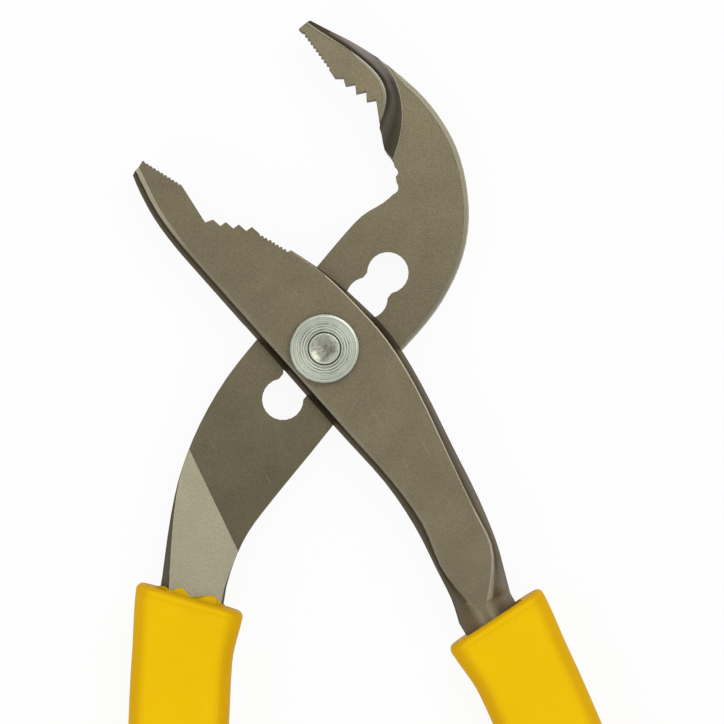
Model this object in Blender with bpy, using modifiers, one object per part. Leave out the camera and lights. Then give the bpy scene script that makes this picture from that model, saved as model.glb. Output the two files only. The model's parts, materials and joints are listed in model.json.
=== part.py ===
"""Insulated water pump pliers with a slotted joint.

Two forged arms cross on a stud that is keyed to the front arm and slides along a slot in the rear
arm when the handles stand wide open. A peened collar holds the stack together, a washer runs under
the stud's head, and each handle carries a dipped liner and a thick insulating sleeve.

The pliers lie flat: +Z points out of the front face, the stud's axis is the Z axis, and Z = 0 is the
surface that the stud's head and the grips rest on. Each arm is drawn in its own frame, with +X from
the stud towards its jaw, and turned about the stud to the wide open pose.
"""

import math

import bmesh
import bpy
from mathutils import Matrix, Vector

# Pose of the two arms: the direction from the stud to each jaw, in degrees from +X
FRONT_ARM_ANGLE = 131.6
REAR_ARM_ANGLE = 50.3

# Clearance between pieces that touch, slide or turn on each other
SEAT_GAP = 0.0003

# Stack along the stud, from the resting surface upwards
HEAD_DIAMETER = 0.0155
HEAD_THICKNESS = 0.0024
WASHER_INSET = 0.00035
WASHER_DIAMETER = HEAD_DIAMETER - 2 * WASHER_INSET
WASHER_THICKNESS = 0.0008
LAP_THICKNESS = 0.0055
COLLAR_DIAMETER = HEAD_DIAMETER
COLLAR_THICKNESS = 0.0024
RIM_CHAMFER = 0.0005

# Stud's spigot, peened over into the collar's countersink
SPIGOT_DIAMETER = 0.0056
PEEN_DIAMETER = 0.0068
PEEN_DEPTH = 0.0010
PEEN_CROWN = 0.0003

# Turned rings on the collar's face
RING_COUNT = 3
RING_DEPTH = 0.00025
RING_WIDTH = 0.0005

# Slot in the rear arm: round seats joined by a narrower channel
SLOT_PITCH = 0.0073
SEATS_TOWARDS_JAW = 3
SEATS_TOWARDS_HANDLE = 2
SEAT_DIAMETER = 0.0092
NECK_WIDTH = 0.0071

# Teeth
FINE_PITCH = 0.00098
FINE_DEPTH = 0.0005
COARSE_COUNT = 4
COARSE_DEPTH = 0.0011
COARSE_LEAN = 0.64
REAR_TEETH_BOW = 0.0006

# Forging
SIDE_DRAFT = 0.0014
EDGE_ROUND = 0.0008
GRIP_EDGE_ROUND = 0.0004
COVE_WIDTH = 0.0032
RAMP_ANGLE = 13.5

# Tang of each arm, inside its grip
FRONT_TANG_WIDTH = 0.0146
FRONT_TANG_DRAFT = 0.0054
REAR_TANG_WIDTH = 0.0154
REAR_TANG_DRAFT = 0.0030
TANG_THICKNESS = 0.0104
TANG_ROUND = 0.0020
TANG_TAPER = 0.0030
TANG_END_THICKNESS = 0.0080
TANG_LENGTH = 0.104

# Grip: a thin dipped liner on the tang and a thick sleeve over it
LINER_WALL = 0.0010
LINER_REVEAL = 0.0012
LINER_END_WALL = 0.0015
SLEEVE_LENGTH = 0.122
SLEEVE_LIP_WIDTH = 0.0242
SLEEVE_WIDTH = 0.0222
FRONT_SLEEVE_OFFSET = 0.0008
REAR_SLEEVE_OFFSET = 0.0003
SLEEVE_THICKNESS = 0.0183
SLEEVE_CORNER = 0.0060
SLEEVE_LIP_LENGTH = 0.014
SLEEVE_LIP_ROUND = 0.0018
SLEEVE_END_ROUND = 0.009

# Handle's line: it turns inwards below the lip, which slants in degrees down towards the other
# handle, then eases outwards to its end
FRONT_LIP_SLANT = 3.0
REAR_LIP_SLANT = 7.0
ENTRY_TURN = 7.0
ENTRY_LENGTH = 0.024
END_TURN = 5.0

# Facets
ROUND_STEPS = 48
SPAN_STEPS = 3
CORNER_STEPS = 2
COVE_STEPS = 6
HANDLE_STEPS = 12
CUT_MARGIN = 0.020

# Levels of the stack
WASHER_BACK = HEAD_THICKNESS + SEAT_GAP
REAR_BACK = WASHER_BACK + WASHER_THICKNESS + SEAT_GAP
REAR_LAP = REAR_BACK + LAP_THICKNESS
FRONT_LAP = REAR_LAP + SEAT_GAP
FRONT_FACE = FRONT_LAP + LAP_THICKNESS
COLLAR_BACK = FRONT_FACE + SEAT_GAP
COLLAR_FACE = COLLAR_BACK + COLLAR_THICKNESS
MIDDLE = (REAR_BACK + FRONT_FACE) / 2

# Stud's shank: it turns in a seat of the slot, and its flats pass the necks
STUD_DIAMETER = SEAT_DIAMETER - 2 * SEAT_GAP
STUD_FLATS = NECK_WIDTH - 2 * SEAT_GAP

# Front arm's forged form, as ribs from the gripping edge to the outer edge:
# gripping x, gripping y, outer x, outer y, draft on the gripping side, draft on the outer side
FRONT_RIBS = [
    (0.0577, 0.0020, 0.0568, 0.0064, 0.0, 0.0012),
    (0.0530, 0.0006, 0.0530, 0.0077, 0.0, SIDE_DRAFT),
    (0.0475, -0.0008, 0.0465, 0.0092, 0.0, SIDE_DRAFT),
    (0.0395, -0.0034, 0.0390, 0.0099, 0.0, SIDE_DRAFT),
    (0.0307, -0.0063, 0.0307, 0.0100, 0.0, SIDE_DRAFT),
    (0.0212, -0.0089, 0.0212, 0.0100, 0.0, SIDE_DRAFT),
    (0.0120, -0.0113, 0.0120, 0.0100, 0.0003, SIDE_DRAFT),
    (0.0020, -0.0127, 0.0020, 0.0100, 0.0010, SIDE_DRAFT),
    (-0.0080, -0.0130, -0.0080, 0.0100, SIDE_DRAFT, SIDE_DRAFT),
    (-0.0200, -0.0109, -0.0180, 0.0099, SIDE_DRAFT, SIDE_DRAFT),
    (-0.0350, -0.0069, -0.0310, 0.0098, 0.0017, 0.0014),
    (-0.0476, -0.0035, -0.0425, 0.0113, 0.0020, 0.0018),
    (-0.0570, -0.0002, -0.0525, 0.0139, 0.0012, 0.0010),
    (-0.0630, 0.0025, -0.0599, 0.0161, 0.0028, 0.0026),
]

# Rear arm's forged form, in the same order
REAR_RIBS = [
    (0.0505, 0.0494, 0.0539, 0.0488, 0.0, 0.0008),
    (0.0487, 0.0430, 0.0551, 0.0435, 0.0, SIDE_DRAFT),
    (0.0475, 0.0380, 0.0563, 0.0381, 0.0, SIDE_DRAFT),
    (0.0469, 0.0331, 0.0571, 0.0320, 0.0, SIDE_DRAFT),
    (0.0471, 0.0276, 0.0574, 0.0258, 0.0, SIDE_DRAFT),
    (0.0455, 0.0221, 0.0570, 0.0186, 0.0, SIDE_DRAFT),
    (0.0424, 0.0180, 0.0555, 0.0120, 0.0, SIDE_DRAFT),
    (0.0415, 0.0147, 0.0529, 0.0057, 0.0, SIDE_DRAFT),
    (0.0394, 0.0123, 0.0485, -0.0006, 0.0, SIDE_DRAFT),
    (0.0370, 0.0103, 0.0424, -0.0065, 0.0004, SIDE_DRAFT),
    (0.0331, 0.0107, 0.0354, -0.0106, 0.0008, SIDE_DRAFT),
    (0.0277, 0.0125, 0.0274, -0.0130, 0.0010, SIDE_DRAFT),
    (0.0200, 0.0129, 0.0190, -0.0139, 0.0010, SIDE_DRAFT),
    (0.0070, 0.0129, 0.0070, -0.0134, 0.0010, SIDE_DRAFT),
    (-0.0070, 0.0129, -0.0070, -0.0124, 0.0010, SIDE_DRAFT),
    (-0.0190, 0.0126, -0.0200, -0.0125, 0.0010, SIDE_DRAFT),
    (-0.0303, 0.0107, -0.0332, -0.0126, 0.0012, SIDE_DRAFT),
    (-0.0405, 0.0075, -0.0422, -0.0131, 0.0016, SIDE_DRAFT),
    (-0.0500, 0.0030, -0.0492, -0.0150, 0.0028, 0.0020),
]

# Handle of each arm: where its line crosses the sleeve's lip, its heading there in the arm's frame,
# which way is inwards, and the sizes in which the two handles differ
FRONT_HANDLE = {
    "start": (-0.0692, 0.0122),
    "heading": 168.7,
    "inwards": -1,
    "tang_width": FRONT_TANG_WIDTH,
    "tang_draft": FRONT_TANG_DRAFT,
    "sleeve_offset": FRONT_SLEEVE_OFFSET,
    "lip_slant": FRONT_LIP_SLANT,
}
REAR_HANDLE = {
    "start": (-0.0611, -0.0125),
    "heading": -149.5,
    "inwards": 1,
    "tang_width": REAR_TANG_WIDTH,
    "tang_draft": REAR_TANG_DRAFT,
    "sleeve_offset": REAR_SLEEVE_OFFSET,
    "lip_slant": REAR_LIP_SLANT,
}

# Front jaw's gripping edge: fine teeth at the tip, a hollow, coarse teeth, then fine teeth
FRONT_TIP_TEETH = ((0.0574, 0.0024), (0.0482, -0.0003))
FRONT_HOLLOW = (0.0383, 0.0013)
FRONT_COARSE_TEETH = ((0.0376, -0.0005), (0.0284, -0.0076))
FRONT_HEEL_TEETH = ((0.0286, -0.0061), (0.0212, -0.0085))

# Rear jaw's gripping edge: fine teeth at the tip, coarse teeth, then a straight wall into the throat
REAR_TIP_TEETH = ((0.0506, 0.0484), (0.0482, 0.0387))
REAR_COARSE_TEETH = ((0.0475, 0.0364), (0.0481, 0.0248))
REAR_THROAT_WALL = (0.0457, 0.0220)

# Two scallops in the rear arm's throat, with a nib between them: x, y, radius
THROAT_SCALLOPS = ((0.0397, 0.0134, 0.0012), (0.0369, 0.0115, 0.0016))

# Step where each jaw thickens to both laps, from its outer to its gripping side: the edge of the
# jaw's face, and the foot of the cove below it on the lap, in the arm's frame
REAR_STEP_EDGE = [
    (0.0530, 0.0517),
    (0.0530, 0.0482),
    (0.0535, 0.0435),
    (0.0542, 0.0375),
    (0.0542, 0.0315),
    (0.0533, 0.0277),
    (0.0514, 0.0250),
    (0.0485, 0.0233),
    (0.0458, 0.0223),
    (0.0433, 0.0214),
]
REAR_STEP_FOOT = [
    (0.0566, 0.0521),
    (0.0564, 0.0486),
    (0.0573, 0.0442),
    (0.0580, 0.0376),
    (0.0575, 0.0306),
    (0.0555, 0.0254),
    (0.0527, 0.0215),
    (0.0492, 0.0185),
    (0.0450, 0.0162),
    (0.0401, 0.0143),
]
FRONT_STEP_EDGE = [
    (0.0120, 0.0170),
    (0.0180, 0.0100),
    (0.0226, 0.0040),
    (0.0262, -0.0020),
    (0.0296, -0.0080),
    (0.0330, -0.0160),
]
FRONT_STEP_FOOT = [(x - COVE_WIDTH, y) for x, y in FRONT_STEP_EDGE]

# Crease where each handle starts to thicken, in the arm's frame
REAR_CREASE = ((-0.0368, 0.0077), (-0.0466, -0.0136))
FRONT_CREASE = ((-0.0390, -0.0060), (-0.0390, 0.0110))


def clear_scene():
    for obj in list(bpy.data.objects):
        bpy.data.objects.remove(obj)


def make_collection(name):
    collection = bpy.data.collections.new(name)
    bpy.context.scene.collection.children.link(collection)
    return collection


def make_material(name, colour, roughness, metallic):
    material = bpy.data.materials.new(name)
    material.use_nodes = True
    shader = material.node_tree.nodes["Principled BSDF"]
    shader.inputs["Base Color"].default_value = (*colour, 1.0)
    shader.inputs["Roughness"].default_value = roughness
    shader.inputs["Metallic"].default_value = metallic
    return material


def link_mesh(name, mesh, collection):
    obj = bpy.data.objects.new(name, mesh)
    collection.objects.link(obj)
    return obj


def as_cutter(obj):
    obj.hide_render = True
    obj.display_type = "WIRE"
    return obj


def cut(obj, cutter, operation="DIFFERENCE"):
    modifier = obj.modifiers.new(cutter.name, "BOOLEAN")
    modifier.operation = operation
    modifier.object = cutter


def finish(obj, parent, material):
    """Hangs the piece on its arm's or the stud's empty, and gives it its material."""
    obj.parent = parent
    obj.data.materials.append(material)
    obj.data.shade_smooth()
    obj.data.set_sharp_from_angle(angle=math.radians(30))
    return obj


def make_pivot(name, angle, collection):
    """An empty on the stud's axis, turned to an arm's direction."""
    empty = bpy.data.objects.new(name, None)
    empty.rotation_euler.z = math.radians(angle)
    collection.objects.link(empty)
    return empty


def turned(name, profile, collection, ring=False):
    """A turned piece: its half profile, as radius and height, runs down the outer side."""
    mesh = bpy.data.meshes.new(name)
    last = len(profile) - 1
    edges = [(i, i + 1) for i in range(last)]
    if ring:
        edges.append((last, 0))
    mesh.from_pydata([(radius, 0, height) for radius, height in profile], edges, [])
    obj = link_mesh(name, mesh, collection)
    screw = obj.modifiers.new("Turn", "SCREW")
    screw.steps = ROUND_STEPS
    screw.render_steps = ROUND_STEPS
    screw.use_merge_vertices = True
    screw.merge_threshold = 0.00001
    return obj


def flat_solid(name, outline, low, high, collection):
    """A flat outline given a thickness, as a mesh."""
    curve = bpy.data.curves.new(name, "CURVE")
    curve.dimensions = "2D"
    curve.fill_mode = "BOTH"
    curve.extrude = (high - low) / 2
    spline = curve.splines.new("POLY")
    spline.points.add(len(outline) - 1)
    for point, (x, y) in zip(spline.points, outline):
        point.co = (x, y, 0, 1)
    spline.use_cyclic_u = True
    drawn = link_mesh(name, curve, collection)
    drawn.location.z = (low + high) / 2
    bpy.context.view_layer.update()
    graph = bpy.context.evaluated_depsgraph_get()
    mesh = bpy.data.meshes.new_from_object(drawn.evaluated_get(graph))
    mesh.transform(drawn.matrix_world)
    bpy.data.objects.remove(drawn)
    bm = bmesh.new()
    bm.from_mesh(mesh)
    bmesh.ops.remove_doubles(bm, verts=bm.verts, dist=0.000001)
    bmesh.ops.recalc_face_normals(bm, faces=bm.faces)
    bm.to_mesh(mesh)
    bm.free()
    return link_mesh(name, mesh, collection)


def loft(name, rings, collection):
    """A closed skin over rings of equal length, with flat ends."""
    bm = bmesh.new()
    loops = [[bm.verts.new(point) for point in ring] for ring in rings]
    for first, second in zip(loops, loops[1:]):
        for i in range(len(first)):
            j = (i + 1) % len(first)
            bm.faces.new((first[i], first[j], second[j], second[i]))
    bm.faces.new(loops[0])
    bm.faces.new(loops[-1])
    bmesh.ops.recalc_face_normals(bm, faces=bm.faces)
    mesh = bpy.data.meshes.new(name)
    bm.to_mesh(mesh)
    bm.free()
    return link_mesh(name, mesh, collection)


def mix(a, b, share):
    return a + (b - a) * share


def ease(share):
    share = min(max(share, 0.0), 1.0)
    return share * share * (3 - 2 * share)


def through(rows, steps):
    """Rows of numbers read along a smooth curve through all of them (Catmull-Rom)."""
    read = []
    for i in range(len(rows) - 1):
        before = rows[max(i - 1, 0)]
        start = rows[i]
        end = rows[i + 1]
        after = rows[min(i + 2, len(rows) - 1)]
        for step in range(steps):
            t = step / steps
            row = []
            for a, b, c, d in zip(before, start, end, after):
                bend = 2 * a - 5 * b + 4 * c - d
                twist = 3 * b - a - 3 * c + d
                row.append(b + t * ((c - a) + t * (bend + t * twist)) / 2)
            read.append(tuple(row))
    read.append(tuple(rows[-1]))
    return read


def rounded(corners, radii, steps):
    """A closed outline with each corner eased by a quadratic curve of its own reach."""
    points = []
    for i, (corner, radius) in enumerate(zip(corners, radii)):
        before = corners[i - 1] - corner
        after = corners[(i + 1) % len(corners)] - corner
        start = corner + before.normalized() * min(radius, before.length * 0.45)
        end = corner + after.normalized() * min(radius, after.length * 0.45)
        for step in range(steps + 1):
            t = step / steps
            points.append(start.lerp(corner, t).lerp(corner.lerp(end, t), t))
    return points


def forged_section(inner, outer, low, high, inner_draft, outer_draft, inner_round, outer_round):
    """A six-sided forged section from one edge to the other, widest half-way up."""
    across = outer - inner
    width = across.length
    middle = (low + high) / 2
    least = 0.00002
    inner_draft = max(inner_draft, least)
    outer_draft = max(outer_draft, least)
    corners = [
        Vector((0, middle)),
        Vector((inner_draft, low)),
        Vector((width - outer_draft, low)),
        Vector((width, middle)),
        Vector((width - outer_draft, high)),
        Vector((inner_draft, high)),
    ]
    radii = [inner_round, inner_round, outer_round, outer_round, outer_round, inner_round]
    unit = across / width
    return [
        Vector((*(inner + unit * point.x), point.y))
        for point in rounded(corners, radii, CORNER_STEPS)
    ]


def handle_line(handle, length):
    """Points and headings along a handle, from the sleeve's lip, one for each step."""
    point = Vector(handle["start"])
    step = length / HANDLE_STEPS
    line = []
    for i in range(HANDLE_STEPS + 1):
        line.append((i * step, point.copy(), heading_at(handle, i * step)))
        half_way = heading_at(handle, (i + 0.5) * step)
        point += step * Vector((math.cos(half_way), math.sin(half_way)))
    return line


def heading_at(handle, along):
    entry = ENTRY_TURN * ease(along / ENTRY_LENGTH)
    ending = END_TURN * ease((along - ENTRY_LENGTH) / (SLEEVE_LENGTH - ENTRY_LENGTH))
    return math.radians(handle["heading"] + handle["inwards"] * (entry - ending))


def side_of(handle, heading):
    """The direction across a handle, towards the other handle."""
    turn = heading + handle["inwards"] * math.pi / 2
    return Vector((math.cos(turn), math.sin(turn)))


def tang_ring(handle, along, point, heading, grow=0.0):
    """The tang's section at one place on the handle's line, grown all round."""
    share = along / TANG_LENGTH
    half_width = (handle["tang_width"] - TANG_TAPER * share) / 2 + grow
    half_height = mix(TANG_THICKNESS, TANG_END_THICKNESS, share) / 2 + grow
    across = side_of(handle, heading) * half_width
    return forged_section(
        point - across,
        point + across,
        MIDDLE - half_height,
        MIDDLE + half_height,
        handle["tang_draft"],
        handle["tang_draft"],
        TANG_ROUND + grow,
        TANG_ROUND + grow,
    )


def lip_rise(handle, reach):
    """How far the slanted lip rises on the handle's outer side, at this reach from its line."""
    return reach * math.tan(math.radians(handle["lip_slant"]))


def forging(name, ribs, handle, collection):
    """An arm's forged form, from its jaw's tip to the end of its tang."""
    line = handle_line(handle, TANG_LENGTH)
    heading = line[0][2]
    width = handle["tang_width"]
    across = side_of(handle, heading) * width / 2
    above = 2 * LINER_REVEAL + lip_rise(handle, width / 2 + LINER_WALL)
    start = line[0][1] - above * Vector((math.cos(heading), math.sin(heading)))
    draft = handle["tang_draft"]
    tang_rib = (*(start - across), *(start + across), draft, draft)
    tang_low = MIDDLE - TANG_THICKNESS / 2
    tang_high = MIDDLE + TANG_THICKNESS / 2
    easing = {len(ribs) - 2: 0.15, len(ribs) - 1: 0.5, len(ribs): 1.0}
    rows = []
    for i, rib in enumerate([*ribs, tang_rib]):
        share = easing.get(i, 0.0)
        low = mix(REAR_BACK, tang_low, share)
        high = mix(FRONT_FACE, tang_high, share)
        inner_round = mix(GRIP_EDGE_ROUND, TANG_ROUND, share)
        outer_round = mix(EDGE_ROUND, TANG_ROUND, share)
        rows.append((*rib[:4], low, high, *rib[4:], inner_round, outer_round))
    rings = [
        forged_section(Vector(row[0:2]), Vector(row[2:4]), *row[4:])
        for row in through(rows, SPAN_STEPS)
    ]
    rings += [tang_ring(handle, *place) for place in line]
    return loft(name, rings, collection)


def lap_cutter(name, edge, foot, crease, lap, out, collection):
    """What is taken off an arm where the other one lies on it: a flat lap, a cove from its foot up to
    the edge of the jaw's face, and a slope from the crease up to the handle. Out is +1 for the rear
    arm, which is cut from the front and grips on its +Y side, and -1 for the front arm."""
    height = FRONT_FACE - REAR_LAP
    first, last = (Vector(point) for point in crease)
    along = (last - first).normalized()
    first -= along * CUT_MARGIN
    last += along * CUT_MARGIN
    downhill = Vector((-abs(along.y), along.x * (1 if along.y > 0 else -1)))
    downhill /= math.tan(math.radians(RAMP_ANGLE))
    ends = sorted([first, last], key=lambda point: -out * point.y)
    edge = [Vector(row) for row in through(edge, SPAN_STEPS)]
    foot = [Vector(row) for row in through(foot, SPAN_STEPS)]
    reach = max(point.x for point in foot) + CUT_MARGIN
    side = 2 * CUT_MARGIN
    rings = []
    turns = [math.radians(90 * step / COVE_STEPS) for step in range(COVE_STEPS + 1)]
    levels = [(height * (1 - math.cos(turn)), math.sin(turn)) for turn in turns]
    for rise, share in [*levels, (2 * height, 1.0)]:
        wall = [low.lerp(high, share) for low, high in zip(foot, edge)]
        slope = [point + downhill * rise for point in ends]
        outline = [
            *wall,
            Vector((edge[-1].x, out * side)),
            Vector((ends[0].x, out * side)),
            *slope,
            Vector((ends[1].x, -out * side)),
            Vector((reach, -out * side)),
            Vector((reach, foot[0].y)),
        ]
        rings.append([Vector((*point, lap + out * rise)) for point in outline])
    return as_cutter(loft(name, rings, collection))


def saw_line(ends, depth, inwards, pitch=None, count=None, lean=0.5, bow=0.0):
    """A row of teeth between two points, its valleys on the inward side and deeper by the bow at mid row."""
    start, end = (Vector(point) for point in ends)
    along = end - start
    if count is None:
        count = max(1, round(along.length / pitch))
    step = along / count
    inward = Vector((-along.y, along.x)).normalized()
    if inward.dot(inwards) < 0:
        inward = -inward
    points = []
    for i in range(count):
        arch = 4 * bow * i * (count - i) / count**2
        points.append(start + step * i)
        points.append(start + step * (i + lean) + inward * (depth + arch))
    points.append(end)
    return points


def front_teeth_cutter(collection):
    into = Vector((0, 1))
    edge = [Vector((FRONT_TIP_TEETH[0][0] + CUT_MARGIN, FRONT_TIP_TEETH[0][1]))]
    edge += saw_line(FRONT_TIP_TEETH, FINE_DEPTH, into, pitch=FINE_PITCH)
    edge.append(Vector(FRONT_HOLLOW))
    edge += saw_line(FRONT_COARSE_TEETH, COARSE_DEPTH, into, count=COARSE_COUNT, lean=COARSE_LEAN)[:-2]
    edge += saw_line(FRONT_HEEL_TEETH, FINE_DEPTH, into, pitch=FINE_PITCH)
    edge.append(edge[-1] - into * CUT_MARGIN)
    edge.append(Vector((edge[0].x, edge[-1].y)))
    return as_cutter(flat_solid("front_teeth_cut", edge, 0, 2 * MIDDLE, collection))


def rear_teeth_cutter(collection):
    into = Vector((1, 0))
    edge = [Vector((REAR_TIP_TEETH[0][0], REAR_TIP_TEETH[0][1] + CUT_MARGIN))]
    edge += saw_line(REAR_TIP_TEETH, FINE_DEPTH, into, pitch=FINE_PITCH)
    edge += saw_line(REAR_COARSE_TEETH, COARSE_DEPTH, into, count=COARSE_COUNT, bow=REAR_TEETH_BOW)[:-1]
    edge.append(Vector(REAR_THROAT_WALL))
    edge.append(edge[-1] - into * CUT_MARGIN)
    edge.append(Vector((edge[-1].x, edge[0].y)))
    return as_cutter(flat_solid("rear_teeth_cut", edge, 0, 2 * MIDDLE, collection))


def slot_outline():
    """Round seats in a row along X, joined by a channel with parallel sides."""
    radius = SEAT_DIAMETER / 2
    neck = max(math.asin(NECK_WIDTH / SEAT_DIAMETER), math.acos(min(1.0, SLOT_PITCH / SEAT_DIAMETER)))
    seats = range(-SEATS_TOWARDS_HANDLE, SEATS_TOWARDS_JAW + 1)
    arc_steps = ROUND_STEPS // 6
    upper = []
    for seat in seats:
        first = math.pi if seat == seats[0] else math.pi - neck
        last = 0.0 if seat == seats[-1] else neck
        for step in range(arc_steps + 1):
            angle = mix(first, last, step / arc_steps)
            upper.append((seat * SLOT_PITCH + radius * math.cos(angle), radius * math.sin(angle)))
    lower = [(x, -y) for x, y in reversed(upper[1:-1])]
    return upper + lower


def keyed_outline(diameter, flats):
    """A round shank with two flats along X."""
    radius = diameter / 2
    half = math.asin(flats / diameter)
    arc_steps = ROUND_STEPS // 3
    points = []
    for centre in (0.0, math.pi):
        for step in range(arc_steps + 1):
            angle = centre + mix(-half, half, step / arc_steps)
            points.append((radius * math.cos(angle), radius * math.sin(angle)))
    return points


def make_front_arm(parent, material, parts, cutters):
    arm = forging("front_arm", FRONT_RIBS, FRONT_HANDLE, parts)
    lap = lap_cutter("front_lap_cut", FRONT_STEP_EDGE, FRONT_STEP_FOOT, FRONT_CREASE, FRONT_LAP, -1, cutters)
    key_gap = 2 * SEAT_GAP
    keyway = keyed_outline(STUD_DIAMETER + key_gap, STUD_FLATS + key_gap)
    keyway = as_cutter(flat_solid("front_keyway_cut", keyway, 0, 2 * MIDDLE, cutters))
    keyway.rotation_euler.z = math.radians(REAR_ARM_ANGLE)
    teeth = front_teeth_cutter(cutters)
    for cutter in (lap, teeth):
        cutter.parent = parent
    for cutter in (lap, teeth, keyway):
        cut(arm, cutter)
    return finish(arm, parent, material)


def make_rear_arm(parent, material, parts, cutters):
    arm = forging("rear_arm", REAR_RIBS, REAR_HANDLE, parts)
    lap = lap_cutter("rear_lap_cut", REAR_STEP_EDGE, REAR_STEP_FOOT, REAR_CREASE, REAR_LAP, 1, cutters)
    slot = as_cutter(flat_solid("rear_slot_cut", slot_outline(), 0, 2 * MIDDLE, cutters))
    teeth = rear_teeth_cutter(cutters)
    tools = [lap, slot, teeth]
    for i, (x, y, radius) in enumerate(THROAT_SCALLOPS):
        mesh = bpy.data.meshes.new(f"rear_scallop_cut_{i}")
        bm = bmesh.new()
        bmesh.ops.create_cone(
            bm, cap_ends=True, segments=ROUND_STEPS // 2, radius1=radius, radius2=radius, depth=4 * MIDDLE
        )
        bm.to_mesh(mesh)
        bm.free()
        mesh.transform(Matrix.Translation((x, y, 0)))
        tools.append(as_cutter(link_mesh(mesh.name, mesh, cutters)))
    for cutter in tools:
        cutter.parent = parent
        cut(arm, cutter)
    return finish(arm, parent, material)


def make_stud(parent, material, parts, cutters):
    """Head, keyed shank and peened spigot in one turned piece, with two flats milled on the shank."""
    head = HEAD_DIAMETER / 2
    shank = STUD_DIAMETER / 2
    spigot = SPIGOT_DIAMETER / 2
    peen = PEEN_DIAMETER / 2
    profile = [
        (0, COLLAR_FACE + PEEN_CROWN),
        (peen - PEEN_CROWN, COLLAR_FACE + PEEN_CROWN),
        (peen, COLLAR_FACE),
        (spigot, COLLAR_FACE - PEEN_DEPTH),
        (spigot, FRONT_FACE - SEAT_GAP),
        (shank, FRONT_FACE - SEAT_GAP),
        (shank, HEAD_THICKNESS),
        (head, HEAD_THICKNESS),
        (head, RIM_CHAMFER),
        (head - RIM_CHAMFER, 0),
        (0, 0),
    ]
    stud = turned("pivot_stud", profile, parts)
    for side in (-1, 1):
        mesh = bpy.data.meshes.new(f"stud_flat_cut_{side}")
        bm = bmesh.new()
        bmesh.ops.create_cube(bm, size=1)
        size = (2 * STUD_DIAMETER, STUD_DIAMETER, FRONT_FACE - HEAD_THICKNESS)
        bmesh.ops.scale(bm, verts=bm.verts, vec=size)
        offset = side * (STUD_FLATS + STUD_DIAMETER) / 2
        bmesh.ops.translate(bm, verts=bm.verts, vec=(0, offset, (FRONT_FACE + HEAD_THICKNESS) / 2))
        bm.to_mesh(mesh)
        bm.free()
        cutter = as_cutter(link_mesh(mesh.name, mesh, cutters))
        cutter.parent = parent
        cut(stud, cutter)
    return finish(stud, parent, material)


def make_collar(parent, material, parts):
    """A turned disc with shallow rings on its face and a countersink for the peened spigot."""
    rim = COLLAR_DIAMETER / 2
    bore = SPIGOT_DIAMETER / 2 + SEAT_GAP
    mouth = PEEN_DIAMETER / 2 + SEAT_GAP
    pitch = (rim - RIM_CHAMFER - mouth) / (RING_COUNT + 1)
    profile = [(mouth, COLLAR_FACE)]
    for ring in range(1, RING_COUNT + 1):
        middle = mouth + ring * pitch
        profile.append((middle - RING_WIDTH / 2, COLLAR_FACE))
        profile.append((middle, COLLAR_FACE - RING_DEPTH))
        profile.append((middle + RING_WIDTH / 2, COLLAR_FACE))
    profile += [
        (rim - RIM_CHAMFER, COLLAR_FACE),
        (rim, COLLAR_FACE - RIM_CHAMFER),
        (rim, COLLAR_BACK),
        (bore, COLLAR_BACK),
        (bore, COLLAR_FACE - PEEN_DEPTH),
    ]
    return finish(turned("pivot_collar", profile, parts, ring=True), parent, material)


def make_washer(parent, material, parts):
    rim = WASHER_DIAMETER / 2
    bore = STUD_DIAMETER / 2 + SEAT_GAP
    top = WASHER_BACK + WASHER_THICKNESS
    profile = [(bore, top), (rim, top), (rim, WASHER_BACK), (bore, WASHER_BACK)]
    return finish(turned("rear_washer", profile, parts, ring=True), parent, material)


def slanted(handle, ring, point, heading, share):
    """A ring across a handle, slanted as the sleeve's lip is, by this share of its slant."""
    ahead = Vector((math.cos(heading), math.sin(heading)))
    side = side_of(handle, heading)
    moved = []
    for place in ring:
        shift = share * lip_rise(handle, (place.xy - point).dot(side))
        moved.append(Vector((*(place.xy + ahead * shift), place.z)))
    return moved


def tang_form(name, handle, grow, above, below, collection):
    """The tang's form grown all round, from above the lip to below the tang's end."""
    line = handle_line(handle, TANG_LENGTH)
    rings = []
    for place, shift in ((line[0], -above), *((place, 0.0) for place in line[1:]), (line[-1], below)):
        along, point, heading = place
        moved = point + shift * Vector((math.cos(heading), math.sin(heading)))
        ring = tang_ring(handle, along, moved, heading, grow)
        rings.append(slanted(handle, ring, moved, heading, 1.0 if along == 0 else 0.0))
    return loft(name, rings, collection)


def make_liner(name, handle, parent, material, parts, cutters):
    """The thin first coat on the tang, which shows just above the sleeve's lip."""
    liner = tang_form(name, handle, SEAT_GAP + LINER_WALL, LINER_REVEAL, SEAT_GAP + LINER_END_WALL, parts)
    hollow = tang_form(f"{name}_cut", handle, SEAT_GAP, CUT_MARGIN, SEAT_GAP, cutters)
    hollow = as_cutter(hollow)
    hollow.parent = parent
    cut(liner, hollow)
    return finish(liner, parent, material)


def sleeve_ring(handle, along, point, heading, inset, corner):
    """The sleeve's outer section: wider and slanted at the lip, and drawn in by an inset at its ends."""
    lip_share = 1 - ease(along / SLEEVE_LIP_LENGTH)
    half_width = mix(SLEEVE_WIDTH, SLEEVE_LIP_WIDTH, lip_share) / 2 - inset
    half_height = SLEEVE_THICKNESS / 2 - inset
    side = side_of(handle, heading)
    centre = point - side * handle["sleeve_offset"]
    corners = [
        Vector((-half_width, -half_height)),
        Vector((half_width, -half_height)),
        Vector((half_width, half_height)),
        Vector((-half_width, half_height)),
    ]
    ring = [
        Vector((*(centre + side * place.x), MIDDLE + place.y))
        for place in rounded(corners, [corner] * len(corners), 2 * CORNER_STEPS)
    ]
    return slanted(handle, ring, point, heading, lip_share)


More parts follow.
